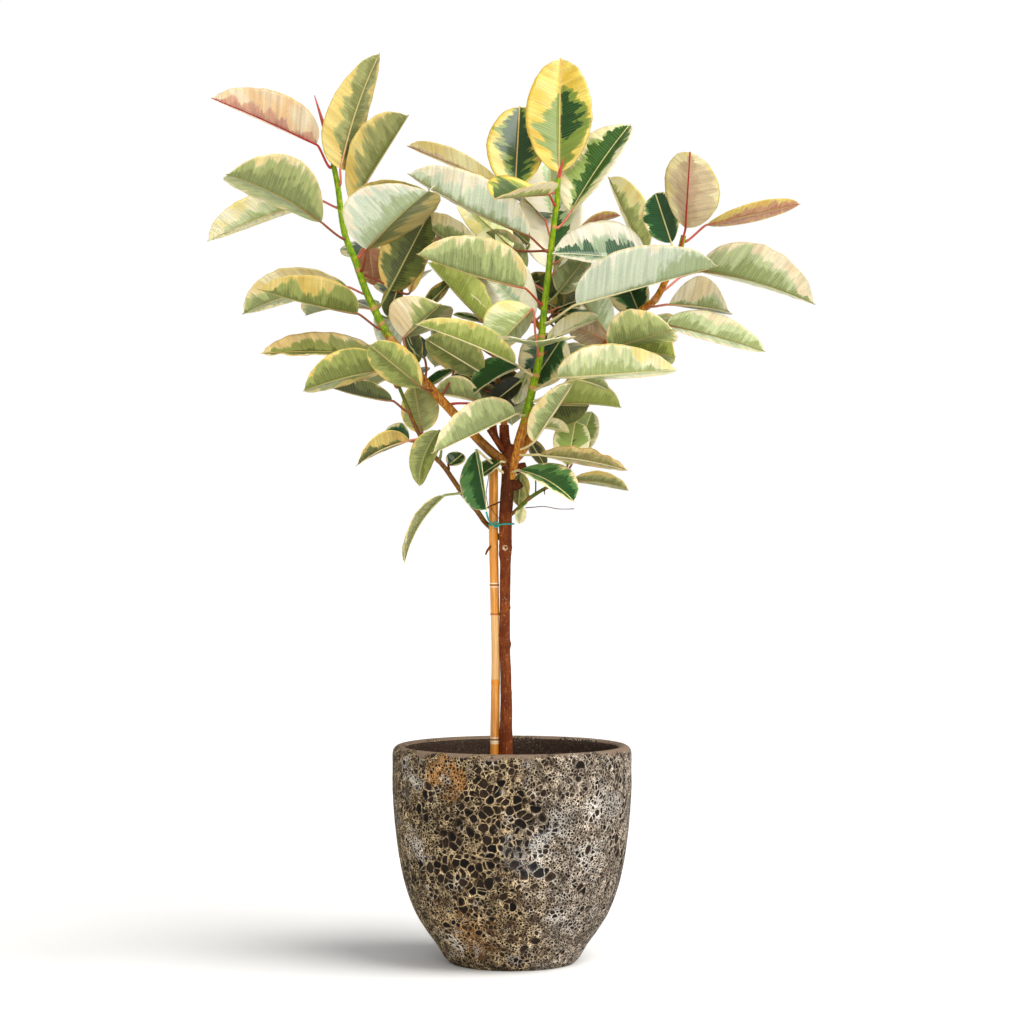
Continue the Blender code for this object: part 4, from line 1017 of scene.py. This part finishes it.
# %% Leaves that the solids also hold
# painted light and shade: a shade above 1 paints a leaf lighter, as if better lit, and one below 1 paints it darker,
# as if in shade
LEAVES = {
    "leaf_01": ("left_branch", 1228, (-303, 1265, -22), (-466, 1337, -60), 56, 121, 28, 2,
        "young peach sunny red_to_tip", (0.5, 0.2, 0.4, 0.3, 0.45), 0.3, {"belly": 0.78}),
    "leaf_02": ("left_branch", 1200, (-266, 1228, -22), (-205, 1407, -10), 44, 142, 24, 6,
        "cream olive glossy pink", (0.1, 0.42, 0.62, 0.75, 1.2), (0.3, 0.7, 0.66, 0.8, 0.95), {"belly": 0.64}),
    "leaf_04": ("left_branch", 1118, (-296, 1145, -44), (-443, 1219, -150), 69, 130, 24, 7,
        "green sage glossy brown", (1.08, 1.02, 0.92, 0.85, 0.92), (1.1, 1.1, 1.0, 1.0, 0.9), {"belly": 1.22,
        "ruffle": 1.7}),
    "leaf_05": ("left_branch", 1166, (-300, 1178, 15), (-472, 1115, 55), 47, 122, 22, 6,
        "cream butter glossy pink", (0.8, 0.75, 0.5, 0.3, -0.3), 0.5, {"deep_over": (0.2, 0.2, 0.1, -0.2, -0.8)}),
    "leaf_07": ("left_branch", 1066, (-225, 1102, -44), (-128, 1194, -150), 82, 122, 30, 4,
        "pale mint glossy brown", (0.8, 0.72, 0.7, 0.7, 0.5), 0.6, {"ruffle": 1.3}),
    "leaf_12": ("leader", 1100, (0, 1104, 34), (-86, 1186, 66), 29, 165, 14, 0,
        "green butter glossy brown", (0.9, 0.8, 0.5, 0.4, 0.2), (0.8, 0.6, 0.4, 0.2, 0.1), {"shade": 2.6}),
    "leaf_14": ("leader", 1190, (-16, 1203, 62), (-163, 1263, 120), 28, 122, 26, 0,
        "young tan sunny pink", (-0.1, -0.1, 0.0, 0.32, 0.36), 0.3, {"belly": 1.12, "shade": 1.15}),
    "leaf_15": ("leader", 1098, (25, 1124, -14), (-162, 1220, -40), 58, 124, 30, -4,
        "pale mint glossy brown", (0.5, 0.5, 0.7, 0.6, 0.55, 0.4), (0.3, 0.4, 0.4, 0.5, 0.5), {"ruffle": 1.4,
        "deep_over": 0.1, "shade": 1.1}),
    "leaf_17": ("leader", 1190, (5, 1196, 26), (12, 1325, 130), 50, 8, 20, 0,
        "cream sage sunny pink", (0.3, 0.55, 0.7, 0.7, 0.6), (0.7, 0.8, 0.75, 0.7, 0.6), {"belly": 0.86, "shade": 0.9,
        "deep_over": (0.1, 0.2, 0.5, 0.55, 0.4), "deep_below": (0.3, 0.55, 0.6, 0.4, 0.2)}),
    "leaf_18": ("leader", 1206, (73, 1222, 22), (75, 1400, 78), 55, 4, 18, 0,
        "cream tan sunny pink", (-0.1, 0.35, 0.7, 0.85, 0.75, 0.1, -0.7, -0.8, -0.8),
        (0.5, 0.75, 0.95, 1.0, 1.0, 0.7, 0.1, -0.5, -0.8), {"shade": 0.9, "deep_over": -0.9,
        "deep_below": (-0.6, -0.6, 0.0, 0.55, 0.6, 0.5, -0.1, -0.8, -0.9)}),
    "leaf_19": ("leader", 1136, (92, 1162, 8), (184, 1297, 60), 57, 48, 24, 4,
        "dark sage mixed pink", (0.3, 0.5, 0.62, 0.68, 0.5), (0.5, 0.6, 0.75, 0.9, 0.7),
        {"deep_over": (0.1, 0.3, 0.5, 0.6, 0.5), "deep_below": (0.1, 0.4, 0.7, 0.85, 0.6)}),
    "leaf_21": ("leader", 1170, (56, 1188, -26), (-28, 1181, -140), 54, 80, 30, 0,
        "young blush sunny red", (0.2, 0.5, 0.85, 0.85, 0.7), 0.3, {"shade": 1.15,
        "deep_over": (0.0, 0.4, 0.72, 0.75, 0.5)}),
    "leaf_23": ("leader", 1060, (66, 1072, 44), (58, 1240, 120), 55, 8, 22, 0,
        "pale mint silver pink", (-0.4, -0.3, -0.2, 0.3, 0.7), (0.85, 0.75, 0.6, 0.5, 0.5), {"belly": 0.84,
        "shade": 1.6, "deep_over": -0.9, "deep_below": (0.6, 0.6, 0.35, -0.4, -0.6)}),
    "leaf_24": ("right_branch", 1062, (209, 1080, 8), (62, 1096, -22), 61, 50, 28, 4,
        "cream olive silver red", (0.5, 0.6, 0.45, 0.6, 0.3), (0.6, 0.7, 0.7, 0.6, 0.4), {"belly": 0.72,
        "deep_over": (0.42, 0.48, 0.1, 0.52, 0.3), "deep_below": 0.2, "shade": 0.76}),
    "leaf_25": ("leader", 988, (100, 1017, -34), (320, 1077, -60), 70, 121, 32, 0,
        "pale mint glossy cream", (0.9, 0.95, 0.95, 0.95, 0.8), 0.9, {"shade": 0.93,
        "deep_over": (-0.5, -0.4, -0.1, 0.75, 0.9), "belly": 0.8}),
    "leaf_27": ("right_branch", 1085, (288, 1070, 18), (470, 1017, -10), 68, 121, 26, 8,
        "green pale glossy brown", (0.85, 0.8, 0.78, 0.42, 0.4), 0.8, {"belly": 0.84, "ruffle": 2.0, "shade": 1.0}),
    "leaf_28": ("right_branch", 1110, (269, 1136, 24), (276, 1254, -60), 50, 205, 18, 0,
        "young tan sunny red_to_tip", (0.55, 0.75, 0.66, 0.55, 0.2), (0.8, 0.95, 0.9, 0.7, 0.4)),
    "leaf_29": ("right_branch", 1120, (303, 1141, 60), (447, 1173, 100), 26, 126, 10, 0,
        "young rust sunny red", (0.2, 0.35, 0.5, 0.7, 0.9), 1.0, {"belly": 1.08}),
    "leaf_30": ("right_branch", 1096, (247, 1113, 56), (222, 1190, 116), 33, -14, 22, 0,
        "dark sage glossy cream", 0.95, 0.95),
    "leaf_31": ("right_branch", 1060, (205, 1096, 110), (149, 1215, 160), 44, 124, 26, 0,
        "cream sage glossy brown", (0.85, 0.75, 0.55, 0.3, 0.0), 0.4, {"shade": 1.62}),
    "leaf_33": ("right_branch", 1020, (243, 1017, -20), (337, 1006, -72), 55, 122, 25, 3,
        "young pale glossy pink", (0.5, 0.3, 0.36, 0.36, 0.3), 0.6, {"belly": 1.5, "shade": 0.78}),
    "leaf_34": ("right_branch", 990, (240, 986, 14), (393, 944, -16), 47, 120, 17, 3,
        "green pale glossy brown", (1.1, 1.1, 1.0, 0.5, 0.45, 0.9, 1.0, 1.0, 1.0), 0.9, {"belly": 0.84,
        "shade": 1.32}),
    "leaf_35": ("right_branch", 944, (150, 949, -58), (250, 978, -150), 50, 142, 24, 0,
        "cream sage glossy brown", (0.9, 0.9, 0.9, 0.85, 0.8), 0.84, {"shade": 1.18}),
    "leaf_38": ("leader", 885, (72, 904, -44), (256, 916, -136), 57, 121, 23, 0,
        "cream butter mixed cream", (0.95, 0.7, 0.65, 0.85, 0.6, 0.3, -0.2), 0.8, {"shade": 1.08}),
    "leaf_40": ("leader", 862, (60, 862, 8), (170, 857, 10), 47, 121, 32, 4,
        "dark lime mixed brown", 1.15, 1.15, {"belly": 0.86, "shade": 0.84}),
    "leaf_44": ("right_twig", 741, (86, 768, -4), (98, 835, 80), 31, 4, 22, 0,
        "cream sage mixed brown", 0.66, 0.7, {"shade": 1.3, "deep_over": -0.2, "deep_below": 0.0}),
    "leaf_46": ("trunk", 785, (45, 784, -34), (180, 760, -70), 35, 112, 10, 4,
        "dry dry aged cream", (0.5, 0.6, 0.8, 0.8, 0.5), 0.8, {"ruffle": 3.2, "shade": 1.2}),
    "leaf_47": ("trunk", 757, (12, 760, -34), (96, 711, -110), 40, 56, 22, 8,
        "dark sage glossy cream", 1.0, (0.95, 0.9, 0.9, 0.8, 0.6), {"shade": 1.12, "deep_over": 0.5,
        "deep_below": 0.5}),
    "leaf_51": ("trunk", 755, (-56, 790, -36), (-39, 698, -80), 42, -60, 24, 0,
        "dark slate glossy cream", (1.1, 1.1, 1.1, 1.1, 0.9), (1.1, 1.1, 1.1, 1.1, 0.9), {"shade": 1.15,
        "deep_over": 0.5, "deep_below": 0.5}),
    "leaf_54": ("leader", 844, (5, 847, -34), (-124, 786, -150), 52, 117, 32, 0,
        "grey slate glossy cream", (0.92, 0.95, 0.92, 0.7, 0.4), 0.9, {"ruffle": 1.6}),
    "leaf_56": ("left_branch", 884, (-142, 890, -62), (-221, 955, -130), 32, 168, 22, 0,
        "cream moss glossy brown", (0.6, 0.75, 0.85, 0.9, 0.9), 0.95),
    "leaf_57": ("left_twig", 888, (-195, 916, -44), (-324, 883, -90), 47, 130, 26, 4,
        "green moss glossy brown", (0.9, 1.05, 1.1, 1.05, 0.95), (0.1, 0.4, 0.8, 0.9, 0.8)),
    "leaf_58": ("left_branch", 950, (-205, 938, 8), (-390, 941, -20), 41, 62, 22, 4,
        "dark olive aged brown", (1.0, 0.9, 0.7, 0.5, 0.2), (1.1, 1.1, 1.0, 0.9, 0.6), {"ruffle": 2.2,
        "deep_over": (0.3, 0.2, 0.1, 0.0, -0.3), "shade": 1.16}),
    "leaf_59": ("left_branch", 1034, (-255, 1044, 12), (-418, 1002, 50), 50, 126, 24, 10,
        "pale sage glossy pink", (0.9, 0.3, 0.35, 0.4, 0.9), 0.8, {"belly": 1.05, "ruffle": 1.5}),
    "leaf_60": ("left_branch", 980, (-240, 1003, -30), (-394, 1041, -90), 54, 118, 28, -3,
        "cream moss glossy brown", (1.1, 1.0, 0.95, 0.55, 0.5, 0.55, 0.75, 0.3, -0.2), 0.9, {"belly": 0.86}),
    # painted shade: the lower half of this leaf is painted darker than the upper one
    "leaf_64": ("left_branch", 938, (-168, 966, -30), (-110, 1018, -105), 54, 140, 22, 0,
        "cream blush glossy pink", (-0.4, -0.1, 0.3, 0.6, 0.8), (0.7, 0.75, 0.8, 0.8, 0.8), {"dim_below": 0.6,
        "shade": 1.12}),
    "leaf_66": ("leader", 906, (4, 925, -22), (-150, 987, -110), 36, 121, 32, 4,
        "lime lime mixed cream", (0.9, 0.95, 0.95, 0.8, 0.5), 0.9),
    "leaf_68": ("inner_shoot", 900, (-46, 911, 10), (-134, 964, -16), 38, 150, 22, 0,
        "green moss glossy cream", 0.86, 0.88),
    "leaf_69": ("inner_shoot", 985, (-40, 986, -2), (-131, 1083, -12), 46, 121, 28, 0,
        "green lime glossy brown", 1.0, 0.9, {"ruffle": 2.4, "belly": 0.86, "shade": 1.3}),
    "leaf_71": ("leader", 1016, (18, 1043, -28), (-148, 1095, -90), 68, 121, 32, -4,
        "pale slate glossy red", (0.5, 0.75, 0.86, 0.82, 0.6), 0.9, {"ruffle": 1.6, "belly": 0.86, "shade": 1.1}),
    "leaf_74": ("leader", 936, (40, 952, -16), (36, 960, -200), 60, (0, -0.04, 1), 11, 0,
        "grey slate silver pink", 0.8, 0.8, {"ruffle": 2.2}),
    "leaf_78": ("trunk", 793, (34, 804, -26), (94, 896, -60), 36, 120, 26, 0,
        "pale slate glossy cream", (0.3, 0.7, 0.8, 0.8, 0.7), 0.6),
    "leaf_82": ("left_twig", 775, (-114, 821, -46), (-144, 735, -80), 23, 158, 22, 8,
        "green moss mixed moss", 1.1, 1.1, {"belly": 0.74, "shade": 0.86}),
    "leaf_83": ("left_twig", 810, (-160, 806, -50), (-241, 767, -130), 31, 118, 22, 6,
        "cream dusk mixed pink", (-0.2, 0.15, 0.3, 0.6, 1.1), 0.9, {"belly": 1.1}),
    "leaf_85": ("left_twig", 727, (-107, 720, -40), (-167, 616, -70), 32, 92, 22, 10,
        "dark olive mixed olive", 0.95, 0.95),
    "leaf_91": ("leader", 1004, (70, 1012, 50), (120, 1010, 270), 50, (0.1, 0.2, 1), 20, 6,
        "green sage glossy pink", 0.75, 0.8),
    "leaf_92": ("left_branch", 1010, (-190, 1030, 50), (-150, 1060, 260), 50, (0, 0.1, 1), 20, 6,
        "green sage glossy pink", 0.8, 0.7),
}
print("leaves that the solids hold:", len(LEAVES))

# %% [markdown]
# ## The leaves behind
# The rest of the crown has too many leaves for the frame to hold as solids, so they are grown here alone, by
# the same rule. They fill the depth of the crown between and behind the others. The darkest of them are
# painted dark, as painted shade in the heart of the crown.

# %% Leaves that only the looks hold
# painted light and shade: these leaves are painted darker by default, and a shade in a row paints one lighter or
# darker
MORE_LEAVES = {
    "backing_03": ("left_branch", 1150, (-248, 1172, 0), (-160, 1311, 30), 60, 121, 32, 0,
        "green olive glossy brown", (0.1, 0.4, 0.62, 0.75, 0.9), 0.9, {"belly": 1.12}),
    "backing_07": ("left_branch", 1066, (-225, 1102, -30), (-128, 1194, -134), 76, 140, 24, 4,
        "green olive glossy brown", 0.6, (0.7, 0.55, 0.5, 0.6, 0.8)),
    "backing_08": ("left_branch", 1085, (-222, 1112, 10), (-214, 1046, 24), 22, 176, 14, 0,
        "young rust sunny red", 1.0, 1.0),
    "backing_09": ("left_branch", 1008, (-190, 1040, 8), (-124, 1168, 30), 44, 158, 20, 0,
        "green dusk glossy olive", (0.7, 0.8, 0.8, 0.7, 0.5), 1.0, {"shade": 1.2}),
    "backing_11": ("left_branch", 1060, (-158, 1036, 34), (-134, 1120, 60), 13, 165, 10, 0,
        "young rust sunny brown", 0.4, 0.3),
    "backing_13": ("rear_shoot", 1120, (-14, 1128, 60), (-84, 1184, 90), 38, 121, 30, 0,
        "cream butter glossy olive", 0.6, 0.4),
    "backing_12": ("rear_shoot", 1040, (-50, 1082, 30), (-150, 1152, 46), 40, 124, 26, 0,
        "cream sage glossy olive", (0.9, 0.9, 0.75, 0.5, 0.1), 0.6, {"shade": 1.1}),
    "backing_16": ("rear_shoot", 1080, (26, 1112, 40), (-26, 1160, 60), 26, 130, 20, 0,
        "green olive mixed olive", 0.5, 0.8),
    "backing_07p": ("rear_shoot", 1060, (-100, 1130, 50), (-138, 1096, 70), 10, 120, 10, 0,
        "young rust sunny olive", 1.0, 1.0),
    "backing_32": ("leader", 1100, (106, 1134, 40), (168, 1155, 60), 15, 122, 20, 3,
        "young rust sunny brown", 0.8, 0.9),
    "backing_36": ("right_branch", 950, (150, 968, 20), (92, 1050, 40), 40, 124, 28, 0,
        "pale mint glossy red", 0.9, 0.9, {"shade": 1.2}),
    "backing_37": ("right_branch", 985, (200, 998, 90), (164, 1084, 120), 36, -12, 20, 0,
        "dark sage glossy brown", (0.9, 0.9, 0.8, 0.8, 0.7), (0.7, 0.7, 0.7, 0.7, 0.6)),
    "backing_39": ("right_branch", 950, (180, 950, -70), (254, 936, -96), 44, 138, 22, 0,
        "green moss glossy brown", (1.0, 1.0, 1.0, 0.9, 0.6), 0.95, {"shade": 1.35}),
    "backing_41": ("leader", 850, (52, 862, 26), (120, 860, 40), 35, 172, 18, 0,
        "grey dusk glossy olive", 1.1, 1.1, {"shade": 1.1}),
    "backing_42": ("leader", 868, (100, 902, -20), (152, 884, -40), 20, 120, 20, 2,
        "grey slate glossy cream", 1.0, 1.0),
    "backing_43": ("leader", 815, (32, 826, 10), (90, 818, 16), 20, 122, 24, 4,
        "lime butter glossy cream", (0.9, 0.8, 0.6, 0.2, -0.4), 0.7),
    "backing_45": ("right_twig", 741, (98, 782, 100), (124, 852, 120), 27, 14, 20, 0,
        "pale mint mixed brown", 0.6, 0.6, {"deep_over": -0.9, "deep_below": -0.9}),
    "backing_48": ("right_twig", 740, (94, 744, 10), (181, 729, 16), 23, 121, 18, 5,
        "green olive glossy brown", (0.9, 0.7, 0.75, 0.8, 0.5), 0.9),
    "backing_49": ("right_twig", 716, (14, 756, 20), (10, 704, 26), 16, 190, 20, 0,
        "dark moss glossy olive", 0.9, 0.5),
    "backing_50": ("right_twig", 711, (16, 704, -8), (11, 677, -10), 9, 170, 10, 0,
        "green butter glossy olive", 0.8, 0.1),
    "backing_52": ("trunk", 771, (-18, 773, -18), (-58, 746, -26), 20, 55, 20, 0,
        "dark slate glossy cream", 0.95, 0.95),
    "backing_53": ("left_twig", 757, (-98, 768, -20), (-76, 786, 0), 15, 30, 14, 0,
        "dark slate glossy brown", 0.9, 0.9),
    "backing_55": ("left_branch", 858, (-46, 864, 0), (-121, 880, 20), 36, 122, 26, 4,
        "cream sage glossy red", (0.8, 0.85, 0.85, 0.85, 0.7), 0.9, {"shade": 1.08}),
    "backing_62": ("left_twig", 850, (-186, 868, -20), (-284, 890, -10), 28, 121, 32, -3,
        "dark dusk glossy brown", 1.0, 1.0),
    "backing_63": ("left_branch", 930, (-178, 946, 30), (-214, 996, 60), 26, 150, 20, 0,
        "pale mint glossy brown", 0.9, 0.9),
    "backing_70": ("leader", 1000, (30, 990, 24), (-100, 1116, 18), 54, 24, 22, 4,
        "cream mint silver pink", (0.1, 0.15, 0.3, 0.5, 0.6), 0.2, {"shade": 1.25,
        "deep_over": (-0.8, -0.5, -0.1, 0.4, 0.5), "deep_below": -0.6}),
    "backing_73": ("leader", 955, (30, 1010, -14), (-33, 944, -10), 50, 138, 26, 0,
        "cream butter mixed pink", (0.5, 0.6, 0.8, 0.9, 0.9), (0.6, 0.8, 0.9, 0.9, 0.9), {"shade": 1.25}),
    "backing_75": ("leader", 955, (78, 966, 22), (28, 890, 30), 48, 30, 16, 0,
        "dark dusk glossy olive", (0.8, 0.8, 0.8, 0.8, 0.7), (0.6, 0.6, 0.6, 0.6, 0.6)),
    "backing_77": ("leader", 900, (26, 916, 16), (4, 862, 20), 20, 150, 14, 0,
        "cream butter mixed cream", 0.6, 0.3),
    "backing_79": ("inner_shoot", 915, (12, 920, -6), (-60, 878, -14), 46, 66, 24, 4,
        "dark dusk glossy cream", 0.9, (1.0, 1.0, 1.0, 0.95, 0.9), {"deep_over": 0.7, "deep_below": 0.8}),
    "backing_80a": ("left_branch", 872, (-92, 914, 16), (-140, 884, 30), 17, 60, 20, 0,
        "dark dusk glossy brown", 1.0, 0.6),
    "backing_80b": ("left_branch", 900, (-136, 934, 20), (-160, 972, 30), 18, 40, 20, 0,
        "dark dusk glossy brown", 1.0, 1.0),
    "backing_80c": ("inner_shoot", 880, (-54, 892, 10), (-84, 906, 20), 9, 120, 20, 0,
        "dark dusk glossy brown", 1.0, 1.0),
    "backing_80d": ("inner_shoot", 870, (-24, 862, 20), (-54, 892, 30), 18, 160, 20, 0,
        "grey slate glossy brown", 0.9, 0.9),
    "backing_81": ("left_twig", 816, (-139, 820, -10), (-153, 896, 10), 33, 166, 22, 0,
        "grey olive glossy brown", 0.95, 0.85, {"shade": 1.3}),
    "backing_84": ("left_twig", 806, (-160, 806, -20), (-202, 814, -10), 24, 48, 20, 4,
        "dark sage glossy brown", (1.0, 0.9, 0.85, 0.8, 0.6), 0.9),
    "backing_86": ("leader", 1000, (70, 984, 60), (106, 1038, 90), 30, 150, 20, 0,
        "dark dusk glossy brown", 0.8, 0.7),
    "backing_86b": ("leader", 1020, (66, 1012, 100), (92, 1056, 110), 20, 170, 10, 0,
        "young rust glossy brown", 1.0, 1.0),
    "backing_87": ("leader", 955, (54, 961, 10), (140, 996, 30), 26, 124, 24, 3,
        "cream butter mixed cream", (0.2, 0.1, 0.1, 0.4, 0.6), 0.4),
    "backing_88": ("right_branch", 940, (148, 962, 56), (88, 984, 40), 30, 150, 20, 0,
        "young tan glossy red", 0.9, 0.9),
    "backing_90": ("leader", 985, (70, 1004, 60), (138, 1002, 80), 16, 60, 14, 0,
        "dark dusk glossy brown", 0.7, 0.5),
    "backing_tip": ("inner_shoot", 960, (-46, 990, 50), (-92, 1002, 60), 12, 60, 20, 0,
        "dark dusk glossy brown", 0.6, 0.6),
    "rear_01": ("left_branch", 1080, (-240, 1092, 40), (-186, 1130, 170), 50, (-0.2, 0.6, 1), 20, 6,
        "green sage glossy pink", 0.8, 0.7),
    "rear_02": ("left_branch", 1000, (-215, 1010, 40), (-320, 1000, 170), 50, (-0.2, 0.3, 1), 20, 8,
        "green sage mixed pink", 0.75, 0.75),
    "rear_03": ("leader", 1120, (50, 1150, 50), (-20, 1190, 190), 52, (0, 0.6, 1), 20, 6,
        "green sage glossy pink", 0.8, 0.7),
    "rear_04": ("leader", 1080, (80, 1090, 60), (150, 1130, 200), 50, (0.1, 0.5, 1), 20, 6,
        "cream mint silver pink", 0.6, 0.6),
    "rear_05": ("leader", 1040, (30, 1050, 60), (-60, 1040, 230), 52, (0, 0.3, 1), 20, 8,
        "green sage glossy pink", 0.85, 0.8),
    "rear_06": ("right_branch", 1040, (262, 1060, 90), (330, 1060, 210), 48, (0.2, 0.4, 1), 20, 8,
        "green sage mixed pink", 0.7, 0.8),
    "rear_07": ("right_branch", 980, (190, 990, 110), (240, 960, 240), 46, (0.1, 0.3, 1), 20, 8,
        "green moss glossy brown", 0.85, 0.85),
    "rear_08": ("leader", 940, (66, 950, 60), (90, 900, 220), 48, (0, 0.3, 1), 20, 8,
        "dark moss glossy brown", 0.9, 0.85),
    "rear_09": ("inner_shoot", 940, (-50, 950, 60), (-120, 920, 210), 48, (0, 0.3, 1), 20, 8,
        "green moss mixed brown", 0.8, 0.85),
    "rear_10": ("left_branch", 900, (-140, 910, 40), (-220, 890, 170), 46, (-0.1, 0.3, 1), 20, 8,
        "green moss glossy brown", 0.85, 0.85),
    "rear_11": ("inner_shoot", 880, (-10, 880, 60), (0, 830, 200), 44, (0, 0.4, 1), 20, 8,
        "dark moss glossy brown", 0.9, 0.9),
    "rear_12": ("right_branch", 880, (80, 880, 90), (124, 864, 190), 42, (0, 0.4, 1), 20, 8,
        "green moss mixed brown", 0.8, 0.8),
    "rear_13": ("inner_shoot", 985, (-60, 980, 60), (-110, 950, 200), 42, (-0.1, 0.5, 1), 20, 6,
        "green sage glossy pink", 0.8, 0.8),
    # painted shade: these dark leaves are painted nearly black to stand for the shade in the heart of the crown
    "painted_shade_leaf_01": ("inner_shoot", 880, (20, 896, 50), (-62, 866, 70), 44, 150, 16, 0,
        "dark dusk glossy olive", 1.0, 1.0, {"shade": 0.3}),
    "painted_shade_leaf_02": ("inner_shoot", 905, (-40, 900, 60), (-96, 880, 80), 30, 150, 16, 0,
        "dark dusk glossy olive", 1.0, 1.0, {"shade": 0.5}),
    "painted_shade_leaf_03": ("right_branch", 815, (27, 808, 40), (52, 766, 50), 13, 160, 16, 0,
        "dark dusk glossy olive", 0.9, 0.9, {"shade": 0.6}),
    "painted_shade_leaf_04": ("leader", 985, (78, 1012, 70), (18, 1058, 90), 34, 150, 16, 0,
        "dark dusk glossy olive", 0.8, 0.8, {"shade": 0.7}),
    "painted_shade_leaf_05": ("inner_shoot", 870, (14, 900, -6), (-34, 862, -8), 20, 150, 16, 0,
        "dark dusk glossy olive", 1.0, 1.0, {"shade": 0.12}),
    "painted_shade_leaf_06": ("left_branch", 1000, (-192, 998, 16), (-174, 1052, 24), 19, 150, 16, 0,
        "dark dusk glossy olive", 1.0, 0.9, {"shade": 0.7}),
    "painted_shade_leaf_07": ("left_branch", 915, (-146, 926, 16), (-166, 990, 20), 17, 150, 16, 0,
        "dark dusk glossy olive", 1.0, 0.9, {"shade": 0.75}),
    "edge_13": ("inner_shoot", 985, (-136, 1012, 20), (-94, 1054, 26), 15, 140, 16, 0,
        "dark dusk glossy olive", 0.9, 0.6, {"shade": 1.0}),
    "edge_16": ("rear_shoot", 1060, (22, 1072, 36), (-40, 1130, 50), 30, 135, 20, 0,
        "green slate glossy olive", 0.8, 0.9),
    "edge_26": ("leader", 1020, (72, 1036, 44), (122, 1100, 50), 32, 150, 20, 0,
        "green slate glossy olive", 0.8, 0.9),
}
print("leaves grown only here:", len(MORE_LEAVES))

# %% [markdown]
# ## Grow every leaf
# The foot of a stalk sits on its shoot, on the side the leaf points to. A leaf that only the looks hold is painted a
# little darker, as painted shade, because it sits deeper in the crown.

# %% Grow them
ROUTES = {"trunk": [place(*r[:3]) for r in TRUNK]}
THICK = {"trunk": 9.0}
for name, (route, *_) in SHOOTS.items():
    ROUTES[name] = [place(*r[:3]) for r in route]
    THICK[name] = sum(r[3] for r in route) / len(route)


def foot_of(shoot, up, base):
    """Where a stalk leaves its shoot, and the direction it leaves in."""
    points, height = ROUTES[shoot], place(0, up, 0).z
    root, direction = points[-1], (points[-1] - points[-2]).normalized()
    for low, high in zip(points, points[1:]):
        if low.z <= height <= high.z:
            root = low.lerp(high, (height - low.z) / (high.z - low.z))
            direction = (high - low).normalized()
            break
    outward = base - root
    outward = (outward - direction * outward.dot(direction)).normalized()
    return root + outward * THICK[shoot] * 0.72 * MM, outward


total = 0
for number, (name, row) in enumerate([*LEAVES.items(), *MORE_LEAVES.items()]):
    shoot, up, base, tip, half, face, fold, arch, skins, over, below, *more = row
    paint, under, top, stalk = skins.split()
    # painted shade: a leaf that only the looks hold is painted 0.88 as bright, for the shade deeper in the crown
    more = {"shade": 1.0 if name in LEAVES else 0.88, **(more[0] if more else {})}
    base, tip = place(*base), place(*tip)
    form = bmesh.new()
    layers = [form.verts.layers.float_vector.new(layer) for layer in ("vein_place", "vein_paint")]
    grow_leaf(form, layers, number, *foot_of(shoot, up, base), base, tip, half, face, fold, arch, over, below, more)
    piece = finish_piece(name + "_blade", form, [upper_skins[top], under_skins[under], stalk_skins[stalk]],
                         [name] if name in LEAVES else [])
    total += len(piece.data.polygons)
print("leaf faces:", total)

# %% [markdown]
# ## Close
# Any solid that still shows would be a plain stand-in, so the list is printed.

# %% Solids still shown
print("solids still shown:", [n for n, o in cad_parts.items() if not o.hide_render])
